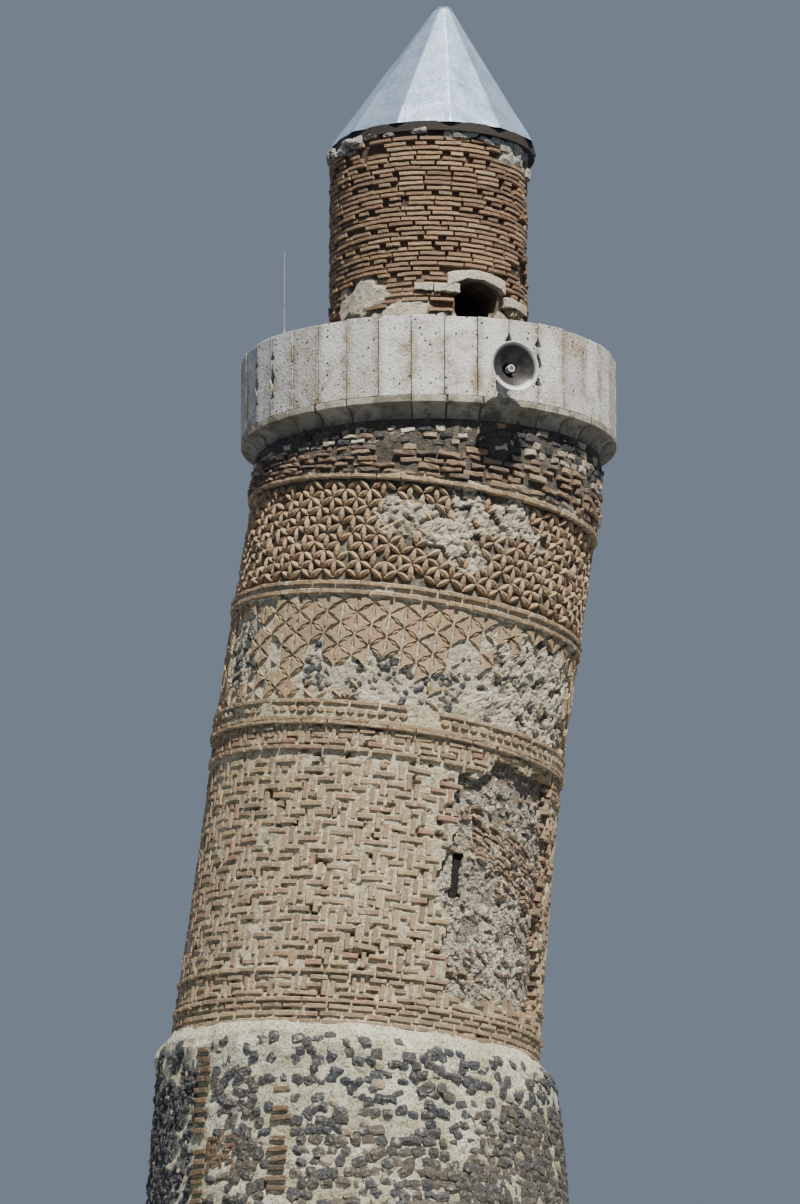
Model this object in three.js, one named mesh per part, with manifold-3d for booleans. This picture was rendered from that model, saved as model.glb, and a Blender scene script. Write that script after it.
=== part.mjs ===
// A leaning brick minaret: square stone plinth, rubble drum, hollow brick shaft in two leans,
// stone balcony with a slab parapet, narrow brick lantern and a sheet-metal cone.
// Millimetres, +Z up. The origin is the centre of the plinth's base, +X is the way the shaft leans,
// and -Y is the front. Angles round the tower count from the front (-Y) towards +X.
import * as THREE from 'three';
import { mergeVertices } from 'three/addons/utils/BufferGeometryUtils.js';
import Module from 'manifold-3d';

const GAP = 0.3;
const ROUND_SIDES = 48;

const PLINTH_WIDTH = 4900;
const PLINTH_HEIGHT = 3400;
const FOOTING_HEIGHT = 150;
const PASSAGE_WIDTH = 900;
const PASSAGE_TOP_Z = 2050;

const DRUM_FOOT_RADIUS = 2290;
const DRUM_SHOULDER_RADIUS = 2045;
const DRUM_SHOULDER_Z = 6800;
const DRUM_CREST_RADIUS = 1965;
const DRUM_TOP_Z = 6950;

const WELL_RADIUS = 850;
const CORE_RADIUS = 1700;
const SHAFT_FOOT_X = -42;
const LOWER_LEAN = 6.13;
const UPPER_LEAN = 8.47;
const KINK_Z = 10300;
const UPPER_LENGTH = 2427;

const LOWER_FACE_RADII = [[0, 1885], [900, 1852], [2200, 1815], [3400, 1805]];
const UPPER_FACE_RADIUS = 1803;
const LOST_FACING = [26, 73];
const LOST_FACING_FOOT = 560;

const WAIST_BAND = { below: 210, above: 10, tilt: 7.3, radius: 1815, roll: 26, rollHeight: 44 };
const SHAFT_ROLLS = { double: [1137, 1231], single: 2372, bulge: 28, height: 52 };
const STAR_NET = { foot: 1262, top: 2342, recess: 20, rise: 8, ribs: 12, ribWidth: 60, climb: 33.6 };

const BALCONY_X = 730;
const CORNICE_Z = 13285;
const CORNICE_FOOT_RADIUS = 1812;
const CORNICE_LIP_Z = 13426;
const BALCONY_RADIUS = 1955;
const FLOOR_Z = 13500;

const PARAPET_RADIUS = 1966;
const PARAPET_THICKNESS = 125;
const PARAPET_TOP_Z = 14340;
const SLAB_ANGLE = 10;
const FIRST_JOINT = 4.5;
const SLABS_PER_PANEL = 6;
const PIERCED_JOINTS = [-65.5, -55.5, 24.5, 34.5];

const LANTERN_RADIUS = 1046;
const LANTERN_WELL_RADIUS = 700;
const LANTERN_TOP_Z = 16600;
const DOORWAY = { from: 15, to: 46, top: 14975, archTop: 15150, archRadius: 1062 };
const LOST_BRICKS = { angle: 72, foot: 15110, height: 330, depth: 120, width: 420 };

const ROOF = { x: 785, foot: 16700, apex: 18263, apexShift: 103, radius: 1102, topRadius: 98 };
const ROOF_SIDES = 12;
const ROOF_FIRST_EDGE = 9;
const ROOF_THICKNESS = 36;
const EAVE_RADIUS = 1072;

const HORN_ANGLE = 22.2;
const HORN = { z: 13755, mouthRadius: 252, mouthDistance: 2290, depth: 235, wall: 5, throatRadius: 42 };
const DRIVER = { radius: 72, length: 64 };
const HORN_SLAB_ANGLE = 19.5;
const BRACKET = { plateWidth: 100, plateHeight: 140, plateThickness: 10, armWidth: 44 };
const ROD = { angle: -51.8, distance: 1905, radius: 8, top: 15230, clampRadius: 21, clampHeight: 62 };

const SLIT = { angle: 27, foot: 8390, height: 470, width: 90 };

const wasm = await Module();
wasm.setup();

const radians = THREE.MathUtils.degToRad;
const lowerSlope = Math.tan(radians(LOWER_LEAN));
const kinkX = SHAFT_FOOT_X + (KINK_Z - DRUM_TOP_Z) * lowerSlope;
const neckFootX = kinkX + UPPER_LENGTH * Math.sin(radians(UPPER_LEAN));
const neckFootZ = KINK_Z + UPPER_LENGTH * Math.cos(radians(UPPER_LEAN));

const paint = (color, roughness, metalness = 0) =>
  new THREE.MeshStandardMaterial({ color, roughness, metalness });

const materials = {
  rubble: paint(0x8f8578, 0.95),
  brick: paint(0xa98a70, 0.9),
  mortar: paint(0xb3a793, 0.95),
  band: paint(0xa58468, 0.88),
  limestone: paint(0xc9c5ba, 0.85),
  lanternBrick: paint(0x9d7f68, 0.92),
  timber: paint(0x6a5a4b, 0.85),
  sheet: paint(0xaeb6bf, 0.45, 0.8),
  horn: paint(0xc9cbc8, 0.5),
  darkPlastic: paint(0x3a3b3a, 0.6),
  steel: paint(0x9a9c9b, 0.45, 0.7),
};

// Solids: closed geometries are welded, then joined and cut.

function solid(geometry) {
  geometry.deleteAttribute('normal');
  geometry.deleteAttribute('uv');
  const welded = mergeVertices(geometry, 1e-3);
  const vertProperties = new Float32Array(welded.attributes.position.array);
  const triVerts = new Uint32Array(welded.index.array);
  return new wasm.Manifold(new wasm.Mesh({ numProp: 3, vertProperties, triVerts }));
}

function geometryOf(manifold) {
  const { vertProperties, triVerts } = manifold.getMesh();
  const geometry = new THREE.BufferGeometry();
  geometry.setAttribute('position', new THREE.BufferAttribute(vertProperties, 3));
  geometry.setIndex(new THREE.BufferAttribute(triVerts, 1));
  return geometry;
}

// The profile runs round its section the way that starts up the outer side.
function turned(profile, sides = ROUND_SIDES, firstAngle = 0) {
  const points = [...profile, profile[0]].map(([radius, z]) => new THREE.Vector2(radius, z));
  const geometry = new THREE.LatheGeometry(points, sides, radians(firstAngle));
  return geometry.rotateX(Math.PI / 2);
}

function tube(inner, outer, foot, top, sides = ROUND_SIDES) {
  return turned([[outer, foot], [outer, top], [inner, top], [inner, foot]], sides);
}

function box(width, depth, height) {
  return new THREE.BoxGeometry(width, depth, height);
}

const front = (angle, distance) =>
  new THREE.Vector2(Math.sin(radians(angle)) * distance, -Math.cos(radians(angle)) * distance);

// A tall wedge between two angles, drawn in by half a gap at each side.
function wedge(from, to, foot = -100, top = 20000) {
  const reach = 4000;
  const middle = (from + to) / 2;
  const shape = new THREE.Shape([
    new THREE.Vector2(0, 0), front(from, reach), front(middle, reach * 1.5), front(to, reach)]);
  const geometry = new THREE.ExtrudeGeometry(shape, { depth: top - foot, bevelEnabled: false });
  const inset = front(middle, GAP / 2 / Math.sin(radians((to - from) / 2)));
  return geometry.translate(inset.x, inset.y, foot);
}

// Everything above (or below) a plane through a point, tipped towards +X.
function halfSpace(x, z, tilt, above) {
  const size = 12000;
  const block = box(size, size, size).translate(0, 0, above ? size / 2 : -size / 2);
  return solid(block.rotateY(radians(tilt)).translate(x, 0, z));
}

function lean(geometry, slope, footX, footZ) {
  const shear = new THREE.Matrix4().makeShear(0, 0, 0, 0, slope, 0);
  return geometry.translate(0, 0, -footZ).applyMatrix4(shear).translate(footX, 0, footZ);
}

const minaret = new THREE.Group();

function add(parent, name, material, geometry) {
  const mesh = new THREE.Mesh(geometry, material);
  mesh.name = name;
  parent.add(mesh);
  return mesh;
}

function group(parent, x, z, tilt = 0) {
  const frame = new THREE.Group();
  frame.position.set(x, 0, z);
  frame.rotation.y = radians(tilt);
  parent.add(frame);
  return frame;
}

const QUADRANTS = { front: [-45, 45], right: [45, 135], back: [135, 225], left: [225, 315] };

// Plinth: on a footing, two side blocks, a front block and a lintel leave a passage from the back
// to the well.

function buildPlinth() {
  const passageHalf = PASSAGE_WIDTH / 2;
  const sideWidth = PLINTH_WIDTH / 2 - passageHalf;
  const fillWidth = PASSAGE_WIDTH - 2 * GAP;
  const blockFoot = FOOTING_HEIGHT + GAP;
  const block = (name, width, depth, x, y, foot, top) =>
    add(minaret, name, materials.limestone, box(width, depth, top - foot))
      .position.set(x, y, (top + foot) / 2);
  const middle = passageHalf + sideWidth / 2;
  block('plinth_footing', PLINTH_WIDTH, PLINTH_WIDTH, 0, 0, 0, FOOTING_HEIGHT);
  block('plinth_left_block', sideWidth, PLINTH_WIDTH, -middle, 0, blockFoot, PLINTH_HEIGHT);
  block('plinth_right_block', sideWidth, PLINTH_WIDTH, middle, 0, blockFoot, PLINTH_HEIGHT);
  block('plinth_front_block', fillWidth, sideWidth, 0, -middle, blockFoot, PLINTH_HEIGHT);
  block('plinth_door_lintel', fillWidth, sideWidth, 0, middle, PASSAGE_TOP_Z, PLINTH_HEIGHT);
}

// Drum: battered rubble masonry with a mortar shoulder where the shaft starts.

function buildDrum() {
  const ring = solid(turned([
    [DRUM_FOOT_RADIUS, PLINTH_HEIGHT + GAP],
    [DRUM_SHOULDER_RADIUS, DRUM_SHOULDER_Z],
    [DRUM_CREST_RADIUS, DRUM_TOP_Z],
    [WELL_RADIUS, DRUM_TOP_Z],
    [WELL_RADIUS, PLINTH_HEIGHT + GAP]]));
  for (const [side, [from, to]] of Object.entries(QUADRANTS)) {
    add(minaret, `drum_${side}`, materials.rubble, geometryOf(ring.intersect(solid(wedge(from, to)))));
  }
}

// Core wall: rubble and mortar from the drum to the balcony, in two leans and an upright neck.

function buildCore() {
  const overlap = 300;
  const bite = 4;
  const neckSlope = (BALCONY_X - neckFootX) / (CORNICE_Z - neckFootZ);

  function stack(lowerRadius, neckRadius, overshoot) {
    const lower = solid(rod(lowerRadius, -overlap - overshoot, 4200))
      .rotate([0, LOWER_LEAN, 0]).translate([SHAFT_FOOT_X, 0, DRUM_TOP_Z])
      .subtract(halfSpace(kinkX, KINK_Z + bite, WAIST_BAND.tilt, true));
    const upper = solid(rod(lowerRadius, -overlap, UPPER_LENGTH + overlap))
      .rotate([0, UPPER_LEAN, 0]).translate([kinkX, 0, KINK_Z])
      .subtract(halfSpace(kinkX, KINK_Z, WAIST_BAND.tilt, false));
    const neckCut = halfSpace(neckFootX, neckFootZ, UPPER_LEAN, false);
    const neck = solid(lean(
      rod(neckRadius, neckFootZ - 2 * overlap, CORNICE_Z + overlap), neckSlope, neckFootX, neckFootZ))
      .subtract(neckCut);
    return lower.add(upper).add(neck);
  }

  const level = halfSpace(BALCONY_X, CORNICE_Z - GAP, 0, true);
  const seat = halfSpace(0, DRUM_TOP_Z + GAP, 0, false);
  const slit = solid(box(SLIT.width, 2400, SLIT.height)
    .translate(0, -1500, SLIT.foot + SLIT.height / 2)
    .rotateZ(radians(SLIT.angle))
    .translate(SHAFT_FOOT_X + (SLIT.foot - DRUM_TOP_Z) * lowerSlope, 0, 0));
  const wall = stack(CORE_RADIUS, UPPER_FACE_RADIUS, 0)
    .subtract(stack(WELL_RADIUS, WELL_RADIUS, overlap))
    .subtract(level).subtract(seat).subtract(slit);
  const meanSlope = (BALCONY_X - SHAFT_FOOT_X) / (CORNICE_Z - DRUM_TOP_Z);
  for (const [side, [from, to]] of Object.entries(QUADRANTS)) {
    const cutter = solid(lean(wedge(from, to), meanSlope, SHAFT_FOOT_X, DRUM_TOP_Z));
    add(minaret, `shaft_core_${side}`, materials.mortar, geometryOf(wall.intersect(cutter)));
  }
}

function rod(radius, foot, top, sides = ROUND_SIDES) {
  return new THREE.CylinderGeometry(radius, radius, top - foot, sides)
    .rotateX(Math.PI / 2).translate(0, 0, (top + foot) / 2);
}

// Brick facing of the lower shaft, with one strip of it lost down to the core.

function buildLowerFacing() {
  const shaft = group(minaret, SHAFT_FOOT_X, DRUM_TOP_Z, LOWER_LEAN);
  const top = LOWER_FACE_RADII.at(-1)[0] + 400;
  const skin = LOWER_FACE_RADII.map(([height, radius]) => [radius, height]);
  skin[0][1] = -400;
  skin.at(-1)[1] = top;
  const inner = CORE_RADIUS + GAP;
  const seat = halfSpace(0, GAP, -LOWER_LEAN, false);
  const bandFoot = (KINK_Z - DRUM_TOP_Z) / Math.cos(radians(LOWER_LEAN)) - WAIST_BAND.below - GAP;
  const cap = halfSpace(0, bandFoot, WAIST_BAND.tilt - LOWER_LEAN, true);
  const facing = solid(turned([...skin, [inner, top], [inner, -400]])).subtract(seat).subtract(cap);
  const [lostFrom, lostTo] = LOST_FACING;
  const whole = 360 - (lostTo - lostFrom);
  const third = whole / 3;
  ['right', 'back', 'front'].forEach((side, index) => {
    const from = lostTo + index * third;
    const panel = facing.intersect(solid(wedge(from, from + third, -1000, 6000)));
    add(shaft, `lower_facing_${side}`, materials.brick, geometryOf(panel));
  });
  const stump = facing.intersect(solid(wedge(lostFrom, lostTo, -1000, LOST_FACING_FOOT)));
  add(shaft, 'lower_facing_stump', materials.brick, geometryOf(stump));
}

// A half-round brick roll, as three corners on a turned profile.
const roll = (radius, z, height, bulge) => [
  [radius, z - height / 2], [radius + bulge, z - height / 4],
  [radius + bulge, z + height / 4], [radius, z + height / 2]];

// Waist band between the two leans: two rolls with a chain of moulded bricks between them.

function buildWaistBand() {
  const { below, above, tilt, radius, roll: bulge, rollHeight } = WAIST_BAND;
  const frame = group(minaret, kinkX, KINK_Z, tilt);
  const half = rollHeight / 2;
  const inner = CORE_RADIUS + 12;
  const profile = [
    ...roll(radius, -below + half, rollHeight, bulge),
    ...roll(radius, above - half, rollHeight, bulge),
    [inner, above], [inner, -below]];
  add(frame, 'waist_band', materials.band, turned(profile));
}

// A straight bar bent round the shaft: its length climbs round the wall and its depth points inwards.
function bent(bar, radius, climb) {
  const corners = bar.attributes.position;
  for (let index = 0; index < corners.count; index += 1) {
    const along = corners.getX(index);
    const place = front(THREE.MathUtils.radToDeg(along / radius), radius - corners.getY(index));
    corners.setXYZ(index, place.x, place.y, corners.getZ(index) + along * Math.tan(radians(climb)));
  }
  return bar;
}

// The main ribs of the star net, which climb both ways from the double roll to the single one.
function netRibs(radius) {
  const { recess, rise, ribs, ribWidth, climb } = STAR_NET;
  const foot = SHAFT_ROLLS.double.at(-1);
  const top = SHAFT_ROLLS.single;
  const bite = 12;
  const depth = rise + recess + bite;
  const run = (top - foot) / Math.tan(radians(climb));
  const width = ribWidth / Math.cos(radians(climb));
  const shape = (way) => solid(
    bent(new THREE.BoxGeometry(run, depth, width, 7).translate(0, depth / 2 - rise, 0), radius, way * climb)
      .translate(0, 0, (foot + top) / 2));
  return [1, -1].flatMap((way) => {
    const rib = shape(way);
    return Array.from({ length: ribs }, (_, index) => rib.rotate([0, 0, (index * 360) / ribs]));
  });
}

// Brick facing of the upper shaft: a double roll, the star net in its sunk field and a single roll.

function buildUpperFacing() {
  const shaft = group(minaret, kinkX, KINK_Z, UPPER_LEAN);
  const inner = CORE_RADIUS + GAP;
  const radius = UPPER_FACE_RADIUS;
  const sunk = radius - STAR_NET.recess;
  const top = UPPER_LENGTH - GAP;
  const ring = (height) => roll(radius, height, SHAFT_ROLLS.height, SHAFT_ROLLS.bulge);
  const profile = [
    [radius, -200], ...SHAFT_ROLLS.double.flatMap(ring),
    [radius, STAR_NET.foot], [sunk, STAR_NET.foot], [sunk, STAR_NET.top], [radius, STAR_NET.top],
    ...ring(SHAFT_ROLLS.single), [radius, top], [inner, top], [inner, -200]];
  const seat = halfSpace(0, WAIST_BAND.above + GAP, WAIST_BAND.tilt - UPPER_LEAN, false);
  let facing = solid(turned(profile)).subtract(seat);
  for (const rib of netRibs(radius)) facing = facing.add(rib);
  ['front', 'right', 'left'].forEach((side, index) => {
    const from = -60 + index * 120;
    const panel = facing.intersect(solid(wedge(from, from + 120, -1000, 6000)));
    add(shaft, `upper_facing_${side}`, materials.brick, geometryOf(panel));
  });
}

// Balcony: a hollow-curved cornice of cut stones that carries the floor.

function buildBalcony() {
  const frame = group(minaret, BALCONY_X, 0);
  const rise = CORNICE_LIP_Z - CORNICE_Z;
  const reach = BALCONY_RADIUS - CORNICE_FOOT_RADIUS;
  const steps = 4;
  const cove = Array.from({ length: steps + 1 }, (_, index) => {
    const turn = (index / steps) * Math.PI / 2;
    return [BALCONY_RADIUS - 20 - (reach - 20) * Math.cos(turn), CORNICE_Z + rise * Math.sin(turn)];
  }).map(([radius, z], index) => (index === 0 ? [CORNICE_FOOT_RADIUS, z] : [radius, z]));
  const ring = solid(turned([
    ...cove,
    [BALCONY_RADIUS, CORNICE_LIP_Z],
    [BALCONY_RADIUS, FLOOR_Z - GAP],
    [LANTERN_WELL_RADIUS, FLOOR_Z - GAP],
    [LANTERN_WELL_RADIUS, CORNICE_Z]]));
  for (const [side, [from, to]] of Object.entries(QUADRANTS)) {
    add(frame, `balcony_${side}`, materials.limestone, geometryOf(ring.intersect(solid(wedge(from, to)))));
  }
}

// Parapet: upright slabs, six to a panel, four of their joints pierced by a chain of openings.

function pierced(angle) {
  const drop = new THREE.Shape();
  drop.moveTo(0, -120);
  drop.quadraticCurveTo(-14, -175, -44, -232);
  drop.lineTo(0, -248);
  drop.lineTo(44, -232);
  drop.quadraticCurveTo(14, -175, 0, -120);
  const lozenge = new THREE.Shape([[0, -290], [-50, -440], [0, -545], [50, -440]]
    .map(([x, z]) => new THREE.Vector2(x, z)));
  const foot = new THREE.Shape([[-16, -572], [-44, -662], [44, -662], [16, -572]]
    .map(([x, z]) => new THREE.Vector2(x, z)));
  const depth = 400;
  return [drop, lozenge, foot].map((shape) => solid(
    new THREE.ExtrudeGeometry(shape, { depth, bevelEnabled: false, curveSegments: 3 })
      .rotateX(Math.PI / 2)
      .translate(0, -PARAPET_RADIUS + depth / 2 + PARAPET_THICKNESS, PARAPET_TOP_Z)
      .rotateZ(radians(angle))));
}

function buildParapet() {
  const frame = group(minaret, BALCONY_X, 0);
  const inner = PARAPET_RADIUS - PARAPET_THICKNESS;
  const profile = [
    [PARAPET_RADIUS, FLOOR_Z], [PARAPET_RADIUS, PARAPET_TOP_Z],
    [inner, PARAPET_TOP_Z], [inner, FLOOR_Z]];
  let ring = solid(turned(profile, 360 / SLAB_ANGLE, FIRST_JOINT));
  for (const joint of PIERCED_JOINTS) {
    for (const hole of pierced(joint)) ring = ring.subtract(hole);
  }
  const panelAngle = SLABS_PER_PANEL * SLAB_ANGLE;
  for (let panel = 0; panel < 360 / panelAngle; panel += 1) {
    const from = FIRST_JOINT + SLAB_ANGLE + panel * panelAngle;
    const slabs = ring.intersect(solid(wedge(from, from + panelAngle)));
    add(frame, `parapet_slabs_${panel + 1}`, materials.limestone, geometryOf(slabs));
  }
}

// Lantern: a narrow brick drum on the balcony floor, with one arched doorway.

function buildLantern() {
  const frame = group(minaret, BALCONY_X, 0);
  const { from, to, top, archTop, archRadius } = DOORWAY;
  const { angle, foot, height, depth, width } = LOST_BRICKS;
  const notch = solid(box(width, 2 * depth, height)
    .translate(0, -LANTERN_RADIUS, foot + height / 2).rotateZ(radians(angle)));
  const wall = solid(tube(LANTERN_WELL_RADIUS, LANTERN_RADIUS, FLOOR_Z, LANTERN_TOP_Z)).subtract(notch);
  const span = (360 - (to - from)) / 4;
  ['right', 'back', 'left', 'front'].forEach((side, index) => {
    const start = to + index * span;
    const part = wall.intersect(solid(wedge(start, start + span)));
    add(frame, `lantern_wall_${side}`, materials.lanternBrick, geometryOf(part));
  });
  const overDoor = wall.intersect(solid(wedge(from, to, archTop + GAP, 20000)));
  add(frame, 'lantern_wall_over_door', materials.lanternBrick, geometryOf(overDoor));
  const stone = solid(tube(LANTERN_WELL_RADIUS, archRadius, top, archTop))
    .intersect(solid(wedge(from, to)));
  const middle = (from + to) / 2;
  const rise = 70;
  const chord = 260;
  const archCut = solid(new THREE.CylinderGeometry(chord, chord, 2400, 24)
    .scale(1, 1, rise / chord).translate(0, -1500, top).rotateZ(radians(middle)));
  add(frame, 'door_arch_stone', materials.limestone, geometryOf(stone.subtract(archCut)));
}

// Roof: boards on the wall head and a sheet cone of flat gores, its tip pulled the way of the lean.

function buildRoof() {
  const { x, foot, apex, apexShift, radius, topRadius } = ROOF;
  const frame = group(minaret, x, 0);
  const eaveInner = 760;
  add(frame, 'eave_boards', materials.timber,
    tube(eaveInner, EAVE_RADIUS, LANTERN_TOP_Z + GAP, foot - GAP));
  const inner = radius - ROOF_THICKNESS * 1.2;
  const innerTop = topRadius - ROOF_THICKNESS * 1.2;
  const cone = turned([[radius, foot], [topRadius, apex], [innerTop, apex], [inner, foot]],
    ROOF_SIDES, ROOF_FIRST_EDGE);
  add(frame, 'roof_cone', materials.sheet, lean(cone, apexShift / (apex - foot), 0, foot));
  const capHeight = 14;
  add(frame, 'roof_cap', materials.sheet, rod(topRadius + 4, 0, capHeight, ROOF_SIDES))
    .position.set(apexShift, 0, apex + GAP);
}

// Loudspeaker: a flared horn on its driver, held off one slab by a plate and a short arm.

function buildHorn() {
  const { mouthRadius, mouthDistance, depth, wall, throatRadius } = HORN;
  const throatDistance = mouthDistance - depth;
  const driverBack = throatDistance - GAP - DRIVER.length;
  const frame = group(minaret, BALCONY_X, HORN.z);
  const pointed = new THREE.Group();
  pointed.rotation.z = radians(HORN_ANGLE);
  frame.add(pointed);
  const flare = (share) => throatRadius + (mouthRadius - throatRadius) * share ** 1.8;
  const shares = [0, 0.25, 0.5, 0.75, 0.92, 1];
  const outside = shares.map((share) => [flare(share), share * depth]);
  const inside = outside.map(([radius, z]) => [radius - wall, z]).reverse();
  const horn = add(pointed, 'horn_bell', materials.horn, turned([...outside, ...inside], 32));
  horn.rotation.x = Math.PI / 2;
  horn.position.y = -throatDistance;
  const driver = add(pointed, 'horn_driver', materials.darkPlastic, rod(DRIVER.radius, 0, DRIVER.length, 24));
  driver.rotation.x = Math.PI / 2;
  driver.position.y = -driverBack;

  const { plateWidth, plateHeight, plateThickness, armWidth } = BRACKET;
  const slabFace = PARAPET_RADIUS * Math.cos(radians(SLAB_ANGLE / 2)) + GAP;
  const turn = radians(HORN_ANGLE - HORN_SLAB_ANGLE);
  const armFoot = slabFace / Math.cos(turn) + plateThickness / 2;
  const armLength = driverBack - GAP - armFoot;
  const arm = solid(box(armWidth, armLength, armWidth)
    .translate(0, -(armFoot + armLength / 2), 0).rotateZ(turn));
  const plate = solid(box(plateWidth, plateThickness, plateHeight)
    .translate(slabFace * Math.tan(turn), -(slabFace + plateThickness / 2), 0));
  add(frame, 'horn_bracket', materials.steel, geometryOf(plate.add(arm)))
    .rotation.z = radians(HORN_SLAB_ANGLE);
}

// Thin upright rod with a clamp, on top of the parapet.

function buildRod() {
  const { angle, distance, radius, top, clampRadius, clampHeight } = ROD;
  const place = front(angle, distance);
  const foot = PARAPET_TOP_Z + GAP;
  const profile = [
    [0, 0], [clampRadius, 0], [clampRadius, clampHeight],
    [radius, clampHeight], [radius, top - foot], [0, top - foot]];
  const points = profile.map(([r, z]) => new THREE.Vector2(r, z));
  add(minaret, 'parapet_rod', materials.steel, new THREE.LatheGeometry(points, 12).rotateX(Math.PI / 2))
    .position.set(BALCONY_X + place.x, place.y, foot);
}

buildPlinth();
buildDrum();
buildCore();
buildLowerFacing();
buildWaistBand();
buildUpperFacing();
buildBalcony();
buildParapet();
buildLantern();
buildRoof();
buildHorn();
buildRod();

export default minaret;
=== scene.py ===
import math
import random
import bpy
import numpy as np
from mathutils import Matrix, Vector, noise


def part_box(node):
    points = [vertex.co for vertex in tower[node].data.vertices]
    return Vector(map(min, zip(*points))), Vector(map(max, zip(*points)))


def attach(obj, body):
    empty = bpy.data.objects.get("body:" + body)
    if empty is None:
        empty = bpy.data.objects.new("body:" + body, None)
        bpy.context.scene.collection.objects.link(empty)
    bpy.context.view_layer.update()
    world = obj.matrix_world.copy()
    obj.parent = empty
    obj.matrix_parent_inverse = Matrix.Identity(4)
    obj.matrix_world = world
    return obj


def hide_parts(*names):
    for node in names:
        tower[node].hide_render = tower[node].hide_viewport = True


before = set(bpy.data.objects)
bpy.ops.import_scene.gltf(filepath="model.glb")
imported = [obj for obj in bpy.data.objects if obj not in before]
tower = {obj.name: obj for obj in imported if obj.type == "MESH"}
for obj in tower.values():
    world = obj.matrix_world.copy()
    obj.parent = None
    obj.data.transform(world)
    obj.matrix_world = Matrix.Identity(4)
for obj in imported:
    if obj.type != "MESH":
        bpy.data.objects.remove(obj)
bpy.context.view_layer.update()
bpy.ops.object.select_all(action="DESELECT")

# The studio
# A plain pale floor, one high soft key light from the right of the front, and a pale surround.
# The camera stands low and far in front and looks up, as the photograph does.

def put(tree, kind, settings=None, **sockets):
    """Adds a node; sockets are values or other nodes' outputs, with _ for a space in a name."""
    node = tree.nodes.new(kind)
    for key, value in (settings or {}).items():
        setattr(node, key, value)
    for key, value in sockets.items():
        socket = node.inputs[key.replace("_", " ")]
        if isinstance(value, bpy.types.NodeSocket):
            tree.links.new(value, socket)
        else:
            socket.default_value = value
    return node


def look(name, roughness, metallic=0.0):
    """A new material; returns it with its node tree and its shader."""
    material = bpy.data.materials.new(name)
    material.use_nodes = True
    tree = material.node_tree
    shader = tree.nodes["Principled BSDF"]
    shader.inputs["Roughness"].default_value = roughness
    shader.inputs["Metallic"].default_value = metallic
    return material, tree, shader


def rgb(red, green, blue):
    """A colour given in screen values from 0 to 255, as the light values that Blender takes."""
    def light(value):
        share = value / 255
        return share / 12.92 if share <= 0.04045 else ((share + 0.055) / 1.055) ** 2.4
    return (light(red), light(green), light(blue), 1.0)


FLOOR_RADIUS = 12.0
FLOOR_Z = -0.005
bpy.ops.mesh.primitive_circle_add(vertices=96, radius=FLOOR_RADIUS, fill_type="NGON",
                                  location=(0, 0, FLOOR_Z))
floor = bpy.context.object
floor.name = "studio_floor"
floor_paint, tree, shader = look("studio_floor", 0.8)
shader.inputs["Base Color"].default_value = rgb(166, 167, 168)
floor.data.materials.append(floor_paint)

CAMERA_PLACE = (0.43, -60.86, -2.427)
CAMERA_PITCH = math.radians(90 + 13.15)
FOCAL_PIXELS = 6000
PHOTO_HEIGHT_PIXELS = 1204
eye = bpy.data.cameras.new("camera")
eye.sensor_width = 36
eye.lens = FOCAL_PIXELS / PHOTO_HEIGHT_PIXELS * eye.sensor_width
eye.clip_end = 500
camera = bpy.data.objects.new("camera", eye)
camera.location = CAMERA_PLACE
camera.rotation_euler = (CAMERA_PITCH, 0, 0)
bpy.context.scene.collection.objects.link(camera)
bpy.context.scene.camera = camera

SUN_HEIGHT = math.radians(56.5)
SUN_RIGHT_OF_FRONT = math.radians(19)
key = bpy.data.lights.new("key_light", "SUN")
key.energy = 8.5
key.angle = math.radians(1.2)
key.color = (1.0, 0.965, 0.91)
sun = bpy.data.objects.new("key_light", key)
sun.rotation_euler = (math.pi / 2 - SUN_HEIGHT, 0, SUN_RIGHT_OF_FRONT)
bpy.context.scene.collection.objects.link(sun)

surround = bpy.data.worlds.new("surround")
surround.use_nodes = True
glow = surround.node_tree.nodes["Background"]
glow.inputs["Color"].default_value = (0.64, 0.77, 1.0, 1)
glow.inputs["Strength"].default_value = 0.28
bpy.context.scene.world = surround

# The plinth
# A square base of rough limestone blocks in courses, laid in lime mortar, with a doorway at the back.
# The blocks have worn arrises, and the courses run through to the corners by turns. The noise that wears
# them, here and further up, starts from a seed, so that every run makes the same shapes.

noise.seed_set(5)


def edit(piece, how="FACE"):
    """Opens one piece in edit mode with nothing selected."""
    bpy.ops.object.select_all(action="DESELECT")
    bpy.context.view_layer.objects.active = piece
    piece.select_set(True)
    bpy.ops.object.mode_set(mode="EDIT")
    bpy.ops.mesh.select_mode(type=how)
    bpy.ops.mesh.select_all(action="DESELECT")


def pick(piece, test):
    """Selects the faces whose middle and normal pass a test, and stays in edit mode."""
    bpy.ops.object.mode_set(mode="OBJECT")
    for face in piece.data.polygons:
        face.select = test(face.center, face.normal)
    bpy.ops.object.mode_set(mode="EDIT")


def open_at(piece, test):
    """Deletes the faces that pass a test."""
    pick(piece, test)
    bpy.ops.mesh.delete(type="FACE")


def extrude(depth):
    """Draws what is selected out along y."""
    bpy.ops.mesh.extrude_region_move(TRANSFORM_OT_translate={"value": (0, depth, 0)})


def slice_at(place, normal):
    """Cuts the open piece through with a plane, so that it can bend there."""
    bpy.ops.mesh.select_all(action="SELECT")
    bpy.ops.mesh.bisect(plane_co=place, plane_no=normal)


def face_outward():
    """Turns all the faces of the open piece outward."""
    bpy.ops.mesh.select_all(action="SELECT")
    bpy.ops.mesh.normals_make_consistent(inside=False)


def done():
    bpy.ops.object.mode_set(mode="OBJECT")
    bpy.ops.object.select_all(action="DESELECT")


def change(piece, kind, **settings):
    """Adds a modifier with its settings to a piece and applies it."""
    bpy.context.view_layer.objects.active = piece
    modifier = piece.modifiers.new("change", kind)
    for key, value in settings.items():
        setattr(modifier, key, value)
    bpy.ops.object.modifier_apply(modifier="change")


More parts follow.
